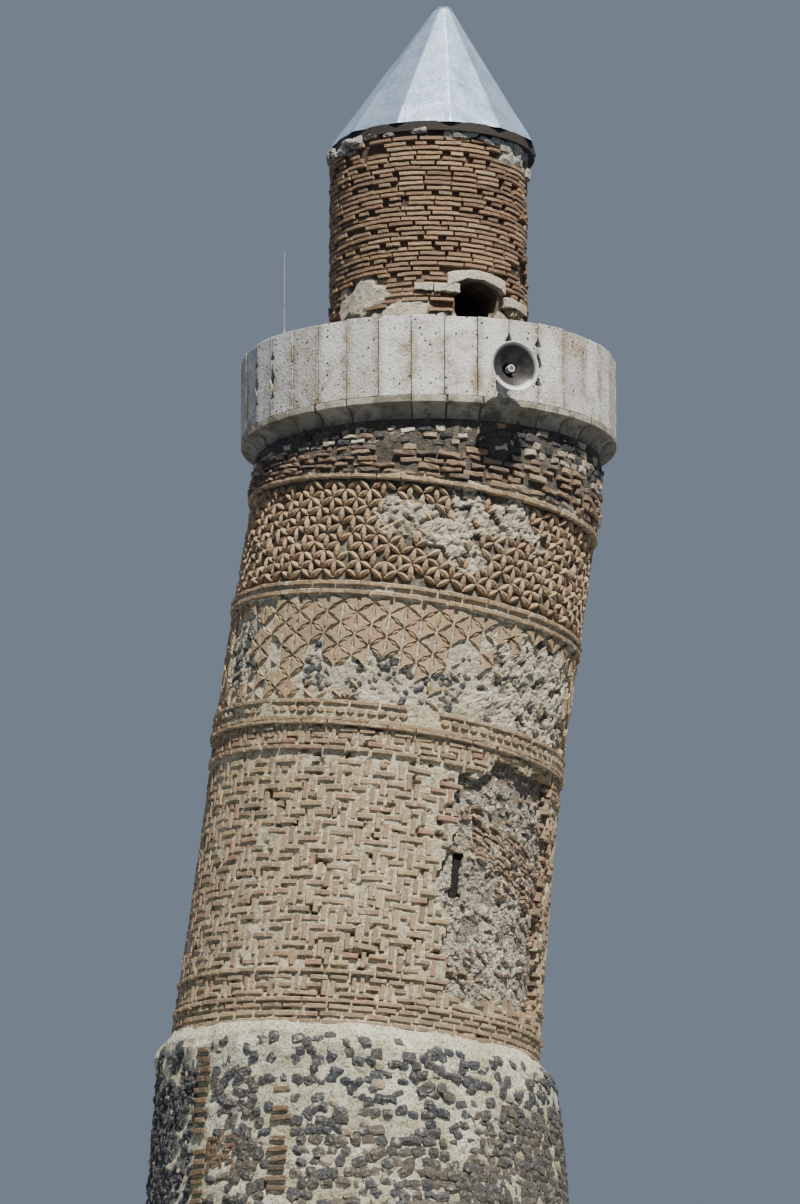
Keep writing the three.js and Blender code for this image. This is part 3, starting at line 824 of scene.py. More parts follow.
places = []
rows = math.ceil((HERRINGBONE[1] - HERRINGBONE[0]) / (4 * FIELD_UNIT)) + 3
for column in range(FIELD_COLUMNS):
    here = zigzag_height(column)
    ahead = zigzag_height(column + 1)
    behind = zigzag_height(column - 1)
    angle = ZIGZAG_APEX + column / FIELD_COLUMNS * FULL_TURN
    angle = (angle + math.pi) % FULL_TURN - math.pi
    across = angle * SHAFT_RADIUS
    for row in range(-rows, rows):
        level = APEX_HEIGHT + (row * 4 + here + 0.5) * FIELD_UNIT
        bricks = [(across, level + 2 * FIELD_UNIT, 0.158, True)]
        if ahead < here and behind < here:
            bricks.append((across, level - 0.5 * FIELD_UNIT, 0.235, False))
            bricks.append((across, level + 0.5 * FIELD_UNIT, 0.075, False))
        elif ahead > here and behind > here:
            bricks.append((across, level + 0.5 * FIELD_UNIT, 0.235, False))
            bricks.append((across, level - 0.5 * FIELD_UNIT, 0.075, False))
        if abs(here - ahead) == 1 and 0 < -here < 4 and 0 < -ahead < 4:
            middle = (here + ahead) / 2 - here
            bricks.append((across + COLUMN_WIDTH / 2, level + middle * FIELD_UNIT, 0.172, False))
        for place, up, long, upright in bricks:
            half = long / 2 if upright else 0.025
            if not HERRINGBONE[0] + half < up < HERRINGBONE[1] - half:
                continue
            around = place / SHAFT_RADIUS
            if in_lost_strip(around, up) > -0.03 or is_worn(around, up, 0.11) or in_slit(around, up, half):
                continue
            places.append(field_brick(place, up, long, 0.050, upright))
fit(lay_round("herringbone_bricks", brick, places, *SHAFT, wear=0.006, grain=33), "brick", facing_brick)


def frieze(low, high, periods):
    """Meander of thin bricks: hooks that rise and fall in turn, in pairs that face each other."""
    places = []
    period = FULL_TURN * SHAFT_RADIUS / periods
    hook = period / 2
    tall = high - low
    thick = 0.044
    for index in range(periods * 2):
        start = -math.pi * SHAFT_RADIUS + index * hook
        flip = -1 if index % 2 else 1
        middle = start + hook / 2
        hooks = [
            (-0.36, 0.64, tall * 0.62, True), (-0.18, 0.10, hook * 0.62, False),
            (0.16, 0.90, hook * 0.62, False), (0.36, 0.36, tall * 0.62, True),
            (0.02, 0.50, hook * 0.44, False),
        ]
        for across, share, long, upright in hooks:
            place = middle + flip * across * hook
            up = low + thick / 2 + share * (tall - thick)
            around = place / SHAFT_RADIUS
            if in_lost_strip(around, up) > -0.02 or is_worn(around, up, 0.0):
                continue
            places.append(field_brick(place, up, long, thick, upright, 0.7))
    return places


def course(height, out, long, high, deep, wall_radius=SHAFT_RADIUS, joint=0.012, wander=0.0):
    """A ring of bricks end to end."""
    count = round(FULL_TURN * wall_radius / long)
    pitch = FULL_TURN * wall_radius / count
    places = []
    first = rng.random()
    for index in range(count):
        place = ((index + first) / count * FULL_TURN - math.pi) * wall_radius
        length = (pitch - joint) * rng.uniform(0.86, 1.02)
        places.append((place, out + rng.uniform(-0.004, 0.004), height + rng.uniform(-wander, wander),
                       length, deep, high * rng.uniform(0.9, 1.05), rng.gauss(0, 0.012), rng.random()))
    return places


def standing(places):
    """Leaves out what has fallen with the lost strip."""
    return [place for place in places if in_lost_strip(place[0] / SHAFT_RADIUS, place[2]) < 0]


places = frieze(*FRIEZE, 20) + frieze(*UPPER_FRIEZE, 20)
low, high = FOOT_COURSES
for row in range(3):
    up = low + (row + 0.5) * (high - low) / 3
    places += standing(course(up, out=0.008, long=0.23, high=0.050, deep=0.08, wander=0.005))
fit(lay_round("meander_and_foot_bricks", brick, places, *SHAFT, wear=0.006, grain=33),
    "brick", facing_brick)

round_brick = shape_block("round_brick", arris_depth=0.22, face_long=0.97, face_high=0.62, cuts=3)
edit(round_brick)
pick(round_brick, lambda middle, normal: abs(middle.y - 0.11) < 0.1 and abs(normal.z) > 0.3)
bpy.ops.transform.translate(value=(0, -0.045, 0))
done()
places = []
for height in (FOOT_RING, FRIEZE_RING, FIELD_RING):
    places += standing(course(height, out=0.020, long=0.25, high=0.047, deep=0.09))
fit(lay_round("shaft_ring_bricks", round_brick, places, *SHAFT, wear=0.006, grain=27),
    "brick", facing_brick)

# The lost strip
# Where the facing has fallen the core shows: lumps of lime mortar and rubble with diagonal courses of
# broken brick, a narrow window at its left edge and stubs of the facing's bricks at its right.

def rubble_lumps(spot, size):
    """Rough rubble: 1 on lumps of about one size, falling to 0 in the creases between them."""
    nearest, second = noise.voronoi(spot / size)[0][:2]
    return min(1, (second - nearest) * 2.4)


def chunk_level(spot, size):
    """Broken pieces of about one size, each with a level of its own from 0 to 1."""
    return noise.cell(noise.voronoi(spot / size)[1][0] * 3) * 0.5 + 0.5


def core_relief(angle, height):
    spot = spot_at(angle, height)
    stray = spot + noise.noise_vector(spot * 6) * 0.03
    slanting = Vector((stray.x, stray.y, (stray.z + angle * 0.9) * 1.5))
    lumps = (chunk_level(slanting, 0.130) - 0.5) * 0.034 + (chunk_level(stray, 0.060) - 0.5) * 0.015
    swell = noise.noise(spot * 2.4) * 0.024 + noise.noise(spot * 13) * 0.010
    hollow = max(0, 1 - abs(height - 9.80) / 0.28) * 0.03
    hollow += max(0, 1 - abs(angle - math.radians(72.5)) / 0.06) * 0.03
    void = max(0, noise.noise(spot * 5 + Vector((0, 0, 9))) - 0.30) * 0.18
    return max(-0.100, -0.076 + lumps + swell - hollow - void)


core_patch = spread("core_patch", math.radians(22) * SHAFT_RADIUS, math.radians(80) * SHAFT_RADIUS,
                    7.26, 10.03, cell=0.0165)
edit(core_patch)
open_at(core_patch, lambda middle, normal: in_slit(middle.x / SHAFT_RADIUS, middle.z, 0))
done()
flat = corners(core_patch)
for corner in flat:
    angle = corner[0] / SHAFT_RADIUS
    inside = in_lost_strip(angle, corner[2])
    edge = clamp((inside + 0.05) / 0.05)
    corner[1] = -(core_relief(angle, corner[2]) * edge - 0.11 * (1 - edge))
mark_deep(core_patch, -flat[:, 1], -0.088)
# Painted shade: the strip's top under the band and its right side are marked darker as well.
for corner, dirt_and_shade in zip(flat, core_patch.data.attributes["deep"].data):
    angle = corner[0] / SHAFT_RADIUS
    spot = spot_at(angle, corner[2])
    shade_reach = max((corner[2] - 9.10) / 0.35, (angle - math.radians(52)) / 0.2)
    shade_reach += noise.noise(spot * 3) * 1.4
    dirt_and_shade.value = max(dirt_and_shade.value, 0.42 * clamp(shade_reach))
move_corners(core_patch, flat)
wrap(core_patch, *SHAFT)
change(core_patch, "SOLIDIFY", thickness=0.05, offset=-1)
core_mortar = mortar_look("core_mortar", rgb(204, 196, 176), rgb(158, 151, 132), rgb(112, 100, 84), 0.48)
fit(core_patch, "core_mortar", core_mortar)


def cut(piece, cutter):
    """Takes the cutter's shape out of a piece."""
    change(piece, "BOOLEAN", operation="DIFFERENCE", solver="EXACT", object=cutter)


SLIT_TURN = math.radians(27)
SLIT_FOOT = (0.1126, 8.38)
SLIT_SIZE = (0.11, 1.7, 0.49)
bpy.ops.mesh.primitive_cube_add(size=1, rotation=(0, 0, SLIT_TURN), scale=SLIT_SIZE, location=(
    SLIT_FOOT[0] + math.sin(SLIT_TURN) * 1.5, -math.cos(SLIT_TURN) * 1.5, SLIT_FOOT[1] + SLIT_SIZE[2] / 2))
slit = bpy.context.object
cut(lower_bed, slit)
bpy.data.objects.remove(slit)
# Painted shade: the core behind the facing is near black, for the dark inside of the narrow window.
core_shade_mortar = mortar_look("core_shade_mortar", rgb(30, 27, 24), rgb(26, 23, 21), rgb(22, 20, 18), 0.45)
dress(core_shade_mortar, "shaft_core_front", "shaft_core_right", "shaft_core_back", "shaft_core_left")

DIAGONAL_MIDDLE = math.radians(50)
DIAGONAL_LEVEL = 9.0
DIAGONAL_SLOPE = -0.62
rng = random.Random(17)
stones = []
stubs = []
for number in range(420):
    angle = rng.uniform(STRIP_LEFT, STRIP_RIGHT + 0.05)
    up = rng.uniform(STRIP_FOOT, STRIP_TOP[1])
    if in_lost_strip(angle, up) < 0.03:
        continue
    out = core_relief(angle, up)
    size = rng.uniform(0.025, 0.055)
    band = up - (DIAGONAL_LEVEL + (angle - DIAGONAL_MIDDLE) * DIAGONAL_SLOPE)
    if abs(band) < 0.26 and angle > math.radians(36) or in_slit(angle, up):
        continue
    stones.append((angle * SHAFT_RADIUS, out + rng.uniform(-0.006, 0.014), up, size * rng.uniform(1, 1.7),
                   0.06, size, rng.uniform(-0.8, 0.8), rng.random()))
for row in range(-5, 6):
    for step_across in range(11):
        angle = math.radians(35 + step_across * 4 + rng.uniform(-1, 1))
        up = DIAGONAL_LEVEL + row * 0.052 + (angle - DIAGONAL_MIDDLE) * DIAGONAL_SLOPE
        if in_lost_strip(angle, up) < 0.04 or rng.random() < 0.15:
            continue
        stubs.append((angle * SHAFT_RADIUS, core_relief(angle, up) + rng.uniform(0.0, 0.035), up,
                      rng.uniform(0.09, 0.15), 0.09, 0.036, -0.33 + rng.gauss(0, 0.06), rng.random()))
for number in range(120):
    angle = rng.uniform(STRIP_LEFT, STRIP_RIGHT)
    up = rng.uniform(7.35, 9.9)
    if in_lost_strip(angle, up) > 0.03 and not in_slit(angle, up):
        stubs.append((angle * SHAFT_RADIUS, core_relief(angle, up) + rng.uniform(0.0, 0.03), up,
                      rng.uniform(0.06, 0.13), 0.09, 0.036, rng.gauss(0, 0.25), rng.random()))
places = []
for number in range(46):
    up = 7.4 + number * 0.055
    edge = STRIP_RIGHT + 0.05 * math.sin(up * 5)
    for step_in in range(2):
        angle = edge - 0.012 - step_in * 0.05 + rng.uniform(-0.015, 0.015)
        if rng.random() < 0.7 and up < STRIP_TOP[1] - 0.05:
            places.append((angle * SHAFT_RADIUS, rng.uniform(-0.050, 0.004), up, rng.uniform(0.08, 0.16),
                           0.09, 0.046, rng.gauss(0, 0.10) + (math.pi / 2 if rng.random() < 0.25 else 0),
                           rng.random()))
for number in range(24):
    angle = math.radians(rng.uniform(37, 74))
    places.append((angle * SHAFT_RADIUS, rng.uniform(-0.050, 0.0), rng.uniform(9.96, 10.05),
                   rng.uniform(0.08, 0.18), 0.09, 0.046, rng.gauss(0, 0.15), rng.random()))
fit(lay_round("strip_edge_bricks", brick, places, *SHAFT, wear=0.012, grain=25), "brick", facing_brick)
rubble_look = brick_look("core_rubble", (rgb(92, 84, 74), rgb(150, 136, 114), rgb(182, 172, 148),
                                         rgb(118, 102, 86)), rgb(202, 194, 170), smear=0.5, grime=0.2)
fit(lay_round("core_rubble_stones", cobble, stones, *SHAFT, wear=0.02, grain=17),
    "core_mortar", rubble_look)
stub_look = brick_look("core_brick", (rgb(116, 98, 82), rgb(140, 120, 98), rgb(128, 104, 88),
                                      rgb(98, 88, 76)), rgb(196, 188, 164), smear=0.52, grime=0.3)
fit(lay_round("core_brick_stubs", brick, stubs, *SHAFT, wear=0.012, grain=25), "brick", stub_look)

# The waist band
# Where the lean changes the shaft has a band of moulded brick: two rounded courses below and one above,
# of which a stretch has fallen, and between them a chain of small six-sided bricks, all set in mortar.

BAND_LOWER = 10.113
CHAIN = 10.204
BAND_UPPER = 10.288
CHAIN_PITCH = 0.108
FALLEN = (math.radians(8), math.radians(17))

band_brick = brick_look("band_brick", (rgb(136, 116, 94), rgb(160, 140, 112), rgb(148, 130, 106),
                                       rgb(126, 112, 92)), rgb(190, 180, 154), smear=0.54)
boss = model("cylinder", "boss", vertices=6, radius=0.5, depth=1, location=(0, 0.5, 0),
             rotation=(math.pi / 2, 0, 0))
edit(boss)
open_at(boss, lambda middle, normal: normal.y > 0.9)
pick(boss, lambda middle, normal: normal.y < -0.9)
extrude(-0.2)
bpy.ops.transform.resize(value=(0.66, 1, 0.66))
done()

places = []
for height in (WAIST_RING, BAND_LOWER, BAND_UPPER):
    ring = course(height, out=0.030, long=0.30, high=0.050, deep=0.10, joint=-0.006)
    if height == BAND_UPPER:
        ring = [place for place in ring if not FALLEN[0] < place[0] / SHAFT_RADIUS < FALLEN[1]]
    places += ring
fit(lay_round("waist_band_rounded_bricks", round_brick, places, *SHAFT, wear=0.007, grain=24),
    "brick", band_brick, "waist_band")

places = []
links = round(FULL_TURN * SHAFT_RADIUS / CHAIN_PITCH)
for link in range(links):
    angle = (link + 0.5) / links * FULL_TURN - math.pi
    if is_worn(angle, CHAIN, 0.05) or FALLEN[0] < angle < FALLEN[1]:
        continue
    places.append((angle * SHAFT_RADIUS, 0.016 + rng.uniform(-0.008, 0.006),
                   CHAIN + rng.uniform(-0.006, 0.006), rng.uniform(0.094, 0.110), 0.08,
                   rng.uniform(0.070, 0.084), rng.gauss(0, 0.08), rng.random()))
fit(lay_round("waist_band_chain", boss, places, *SHAFT, wear=0.009, grain=24), "brick", band_brick)

# The upper shaft
# Two fields of cut brick on a triangular net: below, thick plates with hollow sides and thin leaves
# between them, half lost to rubble; above, ridged leaves that make six-leaved stars over deep pockets.
# A double rounded course parts them and a single one closes them, and plain rough courses make the neck.

LOWER_NET = (10.33, 11.39)
DOUBLE_RING = (11.424, 11.517)
UPPER_NET = (11.555, 12.615)
TOP_RING = 12.646
NECK = (12.68, 13.285)
LOWER_NET_COLUMNS = 68
LOWER_NET_PITCH = 0.227
LOWER_NET_SETTING = (0.02, 11.335)
UPPER_NET_COLUMNS = 82
UPPER_NET_PITCH = 0.186
POCKET_DEPTH = 0.050
LOWER_NET_LOSSES = (((56, 10.95), 34, 0.70), ((27, 10.74), 18, 0.36), ((-66, 10.84), 14, 0.42),
                    ((-26, 10.74), 9, 0.22), ((-4, 10.56), 22, 0.24), ((150, 10.7), 26, 0.36),
                    ((-125, 10.6), 22, 0.3))
UPPER_NET_LOSSES = (((4, 12.22), 15, 0.28), ((29, 12.38), 22, 0.30), ((-8, 12.34), 9, 0.18),
                    ((17, 11.94), 9, 0.20), ((140, 12.1), 16, 0.3), ((-130, 11.9), 12, 0.25))


def patch(angle, height, middle, wide, tall):
    """How far inside an oval patch a place is: one at its middle, less than nothing outside it."""
    across = (math.degrees(angle) - middle[0]) / wide
    up = (height - middle[1]) / tall
    return 1 - math.hypot(across, up)


def worst_patch(angle, height, patches):
    return max(patch(angle, height, *oval) for oval in patches)


def net_loss(angle, height):
    """More than nothing where the cut bricks of the net have fallen and mortar and rubble show."""
    spot = spot_at(angle, height)
    ragged = noise.noise(spot * 3.1) * 0.45 + noise.noise(spot * 8) * 0.25
    if height > DOUBLE_RING[0]:
        return worst_patch(angle, height, UPPER_NET_LOSSES) * 0.9 + ragged - 0.12
    worst = worst_patch(angle, height, LOWER_NET_LOSSES)
    low_down = max(0, 10.72 - height) * 1.9
    return worst * 0.9 + low_down + ragged * 1.3 - 0.16


def upper_relief(angle, height, spot):
    rough = noise.noise(spot * 6) * 0.010 + noise.noise(spot * 16) * 0.010
    loss = net_loss(angle, height)
    if height > DOUBLE_RING[1] + 0.02 and height < TOP_RING - 0.02:
        if loss > 0.05:
            broken_up = chunk_level(spot, 0.11) * 0.046 + chunk_level(spot, 0.05) * 0.018
            return rough - 0.062 + broken_up + rubble_lumps(spot, 0.11) * 0.016
        return rough * 0.6 - POCKET_DEPTH
    if DOUBLE_RING[0] - 0.03 < height:
        return rough * 1.6 + 0.004 + noise.noise(spot * 3) * 0.020
    if loss <= 0.05:
        return rough * 0.9 - 0.020
    broken_off = clamp((math.degrees(angle) - 24) / 14)
    lumps = rubble_lumps(spot, 0.085) * 0.010
    lumps += (chunk_level(spot, 0.13) * 0.050 + chunk_level(spot, 0.06) * 0.018 - 0.030) * broken_off
    return rough - 0.026 - 0.010 * broken_off + lumps + noise.noise(spot * 3) * 0.014


# The pockets between the leaves lie below dark_below, so the mortar there gets painted shade.
upper_bed = mortar_bed("upper_shaft_mortar_bed", *SHAFT, low=10.315, high=NECK[0] + 0.03, cell=0.0225,
                       relief=upper_relief, depth=0.078, dark_below=-0.032)
net_mortar = mortar_look("net_mortar", rgb(208, 198, 174), rgb(180, 172, 150), rgb(146, 132, 106), 0.43)
fit(upper_bed, "core_mortar", net_mortar, "upper_facing_front", "upper_facing_left", "upper_facing_right")

plate = model("circle", "plate", vertices=12, radius=1, fill_type="NGON", rotation=(math.pi / 2, 0, 0))
plate_points = corners(plate)
for corner in plate_points:
    around = math.atan2(corner[2], corner[0])
    lobe = (math.cos(3 * around) + 1) / 2
    corner *= 0.34 + 0.60 * lobe ** 2.1
move_corners(plate, plate_points)
edit(plate)
face_outward()
extrude(-0.85)
extrude(-0.15)
bpy.ops.transform.resize(value=(0.86, 1, 0.86))
bpy.ops.mesh.select_all(action="SELECT")
bpy.ops.transform.translate(value=(0, 1, 0))
open_at(plate, lambda middle, normal: middle.y > 0.95)
face_outward()
done()

leaf = model("uv_sphere", "leaf", segments=6, ring_count=6, radius=0.5, rotation=(0, math.pi / 2, 0))
leaf_points = corners(leaf)
for corner in leaf_points:
    reach = math.hypot(corner[1], corner[2])
    if reach > 0.001:
        corner[1:] *= 0.5 * (1 - (2 * corner[0]) ** 2) / reach
leaf_points[:, 1] += 0.5
move_corners(leaf, leaf_points)
edit(leaf)
open_at(leaf, lambda middle, normal: middle.y > 0.62)
done()


def net(columns, pitch, setting, low, high):
    """Edges and triangles of a triangular net round the shaft: middles, lengths and turns."""
    wide = FULL_TURN * SHAFT_RADIUS / columns
    first_angle, first_height = setting
    lines = []
    triangles = []
    for column in range(columns):
        angle = (column / columns * FULL_TURN + first_angle + math.pi) % FULL_TURN - math.pi
        across = angle * SHAFT_RADIUS
        rows = math.ceil((high - low) / pitch) + 1
        for row in range(-rows - 1, rows + 2):
            up = first_height + (row + (column % 2) / 2) * pitch
            slant = math.hypot(wide, pitch / 2)
            lean = math.atan2(pitch / 2, wide)
            lines.append((across, up + pitch / 2, pitch, math.pi / 2))
            lines.append((across + wide / 2, up + pitch / 4, slant, lean))
            lines.append((across + wide / 2, up - pitch / 4, slant, -lean))
            triangles.append((across + wide / 3, up + pitch / 2, 1))
            triangles.append((across + wide * 2 / 3, up, -1))
    return wide, lines, triangles


rng = random.Random(23)
wide, lines, triangles = net(LOWER_NET_COLUMNS, LOWER_NET_PITCH, LOWER_NET_SETTING, *LOWER_NET)
plates = []
for across, up, way in triangles:
    angle = across / SHAFT_RADIUS
    if not LOWER_NET[0] + 0.07 < up < LOWER_NET[1] - 0.05:
        continue
    if net_loss(angle, up) > 0.08 + rng.uniform(-0.1, 0.1):
        continue
    if rng.random() < (0.22 if abs(angle + math.radians(50)) < math.radians(20) else 0.05):
        continue
    grow = rng.uniform(0.86, 0.98)
    plates.append((across, 0.006 + rng.uniform(-0.008, 0.008), up, wide * 2 / 3 * grow, 0.06,
                   LOWER_NET_PITCH / 2 / 0.866 * grow, (0 if way > 0 else math.pi) + rng.gauss(0, 0.03),
                   rng.random()))
leaves = []
for across, up, long, turn in lines:
    angle = across / SHAFT_RADIUS
    upright = turn == math.pi / 2
    kept = 0.05 + 0.5 * rng.random() ** 4
    if up < LOWER_NET[0] + 0.16 and angle < math.radians(-12):
        kept = rng.uniform(0.2, 1.6)
    if not LOWER_NET[0] + 0.04 < up < LOWER_NET[1] - 0.03 or net_loss(angle, up) > kept:
        continue
    if rng.random() < (0.85 if upright else 0.22):
        continue
    leaves.append((across, 0.010 + rng.uniform(-0.008, 0.006), up, rng.uniform(0.14, 0.175), 0.07,
                   rng.uniform(0.044, 0.056), turn + rng.gauss(0, 0.04), rng.random()))
PLATE_COLORS = (rgb(150, 134, 108), rgb(170, 154, 124), rgb(158, 143, 114), rgb(164, 138, 116),
                rgb(146, 137, 114))
plate_brick = brick_look("plate_brick", PLATE_COLORS, rgb(196, 186, 160), smear=0.58, grime=0.25)
fit(lay_round("lower_net_plates", plate, plates, *SHAFT, wear=0.006, grain=26), "brick", plate_brick)
fit(lay_round("lower_net_leaves", leaf, leaves, *SHAFT, wear=0.005, grain=26), "brick", plate_brick)

upper_setting = (0.01, UPPER_NET[0] + 0.03)
wide, lines, triangles = net(UPPER_NET_COLUMNS, UPPER_NET_PITCH, upper_setting, UPPER_NET[0] - 0.6,
                             UPPER_NET[1])
leaves = []
for across, up, long, turn in lines:
    angle = across / SHAFT_RADIUS
    if not UPPER_NET[0] + 0.035 < up < UPPER_NET[1] - 0.035:
        continue
    lost = net_loss(angle, up) > 0.10 + rng.uniform(-0.08, 0.08) and rng.random() < 0.82
    if lost or rng.random() < 0.07:
        continue
    leaves.append((across + rng.gauss(0, 0.004), 0.010 + rng.uniform(-0.014, 0.008),
                   up + rng.gauss(0, 0.004), rng.uniform(0.160, 0.178), 0.09, rng.uniform(0.060, 0.070),
                   turn + rng.gauss(0, 0.05), rng.random()))
LEAF_COLORS = (rgb(154, 134, 110), rgb(168, 150, 122), rgb(144, 127, 104), rgb(160, 132, 110),
               rgb(176, 160, 130))
leaf_brick = brick_look("leaf_brick", LEAF_COLORS, rgb(194, 182, 156), smear=0.62, grime=0.3)
fit(lay_round("upper_net_leaves", leaf, leaves, *SHAFT, wear=0.006, grain=26), "brick", leaf_brick)

places = []
for number in range(4600):
    angle = rng.uniform(-math.pi, math.pi)
    up = rng.uniform(LOWER_NET[0], UPPER_NET[1])
    if DOUBLE_RING[0] - 0.05 < up < DOUBLE_RING[1] + 0.05 or net_loss(angle, up) < 0.16:
        continue
    if (up > DOUBLE_RING[1] or angle > math.radians(26)) and rng.random() < 0.85:
        continue
    size = rng.uniform(0.030, 0.050) + rng.random() ** 2 * 0.035
    places.append((angle * SHAFT_RADIUS, rng.uniform(-0.018, 0.000), up, size * rng.uniform(1, 1.5), 0.07,
                   size, rng.uniform(-0.9, 0.9), rng.uniform(0.0, 0.7) if rng.random() < 0.75 else 1.0))
fit(lay_round("net_rubble_stones", cobble, places, *SHAFT, wear=0.014, grain=17), "rubble", basalt)

places = []
for height in (*DOUBLE_RING, TOP_RING):
    places += course(height, out=0.030, long=0.27, high=0.054, deep=0.10, joint=-0.006)
fit(lay_round("upper_shaft_ring_bricks", round_brick, places, *SHAFT, wear=0.007, grain=24),
    "brick", band_brick)


def neck_relief(angle, height, spot):
    return 0.008 + noise.noise(spot * 5) * 0.010 + noise.noise(spot * 16) * 0.008


# Painted shade: the neck's mortar is painted dark, and much of it is marked deep, for the shade under the
# cornice.
neck_bed = mortar_bed("neck_mortar_bed", *SHAFT, low=NECK[0] + 0.01, high=NECK[1], cell=0.026,
                      relief=neck_relief, depth=0.06, dark_below=0.018)
neck_mortar = mortar_look("neck_mortar", rgb(118, 111, 98), rgb(94, 87, 76), rgb(76, 67, 57), 0.45)
fit(neck_bed, "core_mortar", neck_mortar)
rng = random.Random(29)
places = []
NECK_COURSES = ((12.715, 0.040, 0.040), (12.778, 0.044, 0.046), (12.845, 0.042, 0.050),
                (12.915, 0.044, 0.046), (12.985, 0.046, 0.040), (13.050, 0.052, 0.030),
                (13.115, 0.054, 0.028), (13.185, 0.060, 0.026), (13.250, 0.056, 0.022))
for row, (up, high, out_to) in enumerate(NECK_COURSES):
    blocks = row > 4
    for place in course(up, out_to, 0.17 if blocks else 0.23, high, deep=0.09, wander=0.012):
        across, out, up_here, long, deep, high_here, turn, shade = place
        spot = Vector((across * 1.3, 0, up * 5))
        if rng.random() < (0.04 if blocks else 0.10) or noise.noise(spot) > (0.7 if blocks else 0.50):
            continue
        # The top rows are mostly dark blocks: the stones' own dark grey, and partly painted shade under the
        # cornice.
        if blocks:
            dark = rng.random() < (0.75 if row > 6 else 0.3)
            shade = rng.uniform(0, 0.2) if dark else rng.uniform(0.6, 1.0)
        else:
            shade = rng.uniform(0.25, 0.70)
        if rng.random() < 0.3:
            long *= 0.6
        places.append((across, out + rng.uniform(-0.022, 0.008), up_here, long, deep,
                       high_here * rng.uniform(0.7, 1.2), turn + rng.gauss(0, 0.05), shade))
NECK_COLORS = (rgb(50, 54, 62), rgb(84, 84, 84), rgb(132, 112, 95), rgb(148, 128, 108), rgb(164, 156, 140),
               rgb(194, 192, 182))
neck_brick = brick_look("neck_brick", NECK_COLORS, rgb(170, 162, 142), smear=0.62, grime=0.5)
fit(lay_round("neck_bricks", brick, places, *SHAFT, wear=0.020, grain=18), "brick", neck_brick)

# The balcony
# A ring of cut stones stands out over the neck: each has a hollow curve below and a plain fascia above,
# jointed with thin mortar. The stones carry the floor slabs.

BALCONY_MIDDLE = (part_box("balcony_left")[0].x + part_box("balcony_right")[1].x) / 2
CORNICE_STONES = 34
CORNICE_FOOT = (1.812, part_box("balcony_front")[0].z)
COVE_TOP = (1.944, 13.418)
FASCIA = (1.968, 13.428)
FLOOR_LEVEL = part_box("balcony_front")[1].z
CORNICE_BACK = 1.70
CORNICE_JOINT = 0.011

pale_stone, tree, shader, place = surface("pale_stone", 0.82)
color = shades(tree, rgb(186, 184, 176), rgb(206, 205, 198), rgb(216, 216, 210))
cloud = mottle(tree, place, 2.6, 6)
color = tint(tree, step(tree, cloud, 0.50, 0.72), color, rgb(178, 172, 156))
stain = step(tree, mottle(tree, place, 1.3, 7, 0.72), 0.47, 0.62)
freckle = step(tree, mottle(tree, place, 26, 6, 0.75), 0.42, 0.60)
color = tint(tree, times(tree, stain, freckle), color, rgb(140, 114, 80))
near_joint = marked(tree, "rim")
seep = step(tree, mottle(tree, place, 7, 7, 0.75), 0.40, 0.58)
color = tint(tree, times(tree, times(tree, near_joint, seep), 0.8), color, rgb(128, 112, 82))
pit_field = mottle(tree, place, 34, 4, 0.6)
for scale, darkness in ((19, rgb(40, 36, 30)), (34, rgb(46, 42, 36)), (52, rgb(66, 60, 50))):
    pits = put(tree, "ShaderNodeTexVoronoi", Vector=place, Scale=scale, Randomness=1)
    chance = put(tree, "ShaderNodeSeparateColor", Color=pits.outputs["Color"]).outputs["Red"]
    away = put(tree, "ShaderNodeMath", {"operation": "ADD"})
    tree.links.new(pits.outputs["Distance"], away.inputs[0])
    tree.links.new(times(tree, chance, 0.34), away.inputs[1])
    color = tint(tree, step(tree, away.outputs[0], 0.29, 0.23), color, darkness)
coat(tree, shader, color, pit_field, 0.012)


def give_shade(piece, value):
    marks = piece.data.attributes.get("shade") or piece.data.attributes.new("shade", "FLOAT", "POINT")
    marks.data.foreach_set("value", [value] * len(piece.data.vertices))


cornice_stone = model("circle", "cornice_stone", vertices=9, radius=1, fill_type="NGON",
                      rotation=(math.pi / 2, 0, 0))
cove = []
for share in (0, 0.25, 0.5, 0.75, 1):
    turn = share * math.pi / 2
    cove.append((COVE_TOP[0] - (COVE_TOP[0] - CORNICE_FOOT[0]) * math.cos(turn),
                 CORNICE_FOOT[1] + (COVE_TOP[1] - CORNICE_FOOT[1]) * math.sin(turn)))
profile = [*cove, FASCIA, (FASCIA[0], FLOOR_LEVEL - 0.004), (CORNICE_BACK, FLOOR_LEVEL - 0.004),
           (CORNICE_BACK, CORNICE_FOOT[1])]
move_corners(cornice_stone, np.array([(0, -reach, height) for reach, height in profile]))
half_stone = math.pi / CORNICE_STONES - CORNICE_JOINT / 2 / FASCIA[0]
edit(cornice_stone)
bpy.ops.mesh.select_all(action="SELECT")
bpy.ops.mesh.spin(steps=3, angle=half_stone * 2, center=(0, 0, 0), axis=(0, 0, 1))
bpy.ops.mesh.select_all(action="SELECT")
bpy.ops.mesh.fill_holes(sides=0)
bpy.ops.mesh.normals_make_consistent(inside=False)
done()
change(cornice_stone, "BEVEL", width=0.006, segments=1, angle_limit=math.radians(40))


def turned_copies(shape, name, angles, middle, spin_back=0.0):
    """Copies of a shape turned about an upright axis, each with its own mesh and shade."""
    copies = []
    for number, angle in enumerate(angles):
        copy = shape.copy()
        copy.data = shape.data.copy()
        copy.name = f"{name}_{number + 1}"
        bpy.context.scene.collection.objects.link(copy)
        move_corners(copy, turned(corners(copy), angle - spin_back, middle))
        give_shade(copy, rng.random())
        copies.append(copy)
    return copies


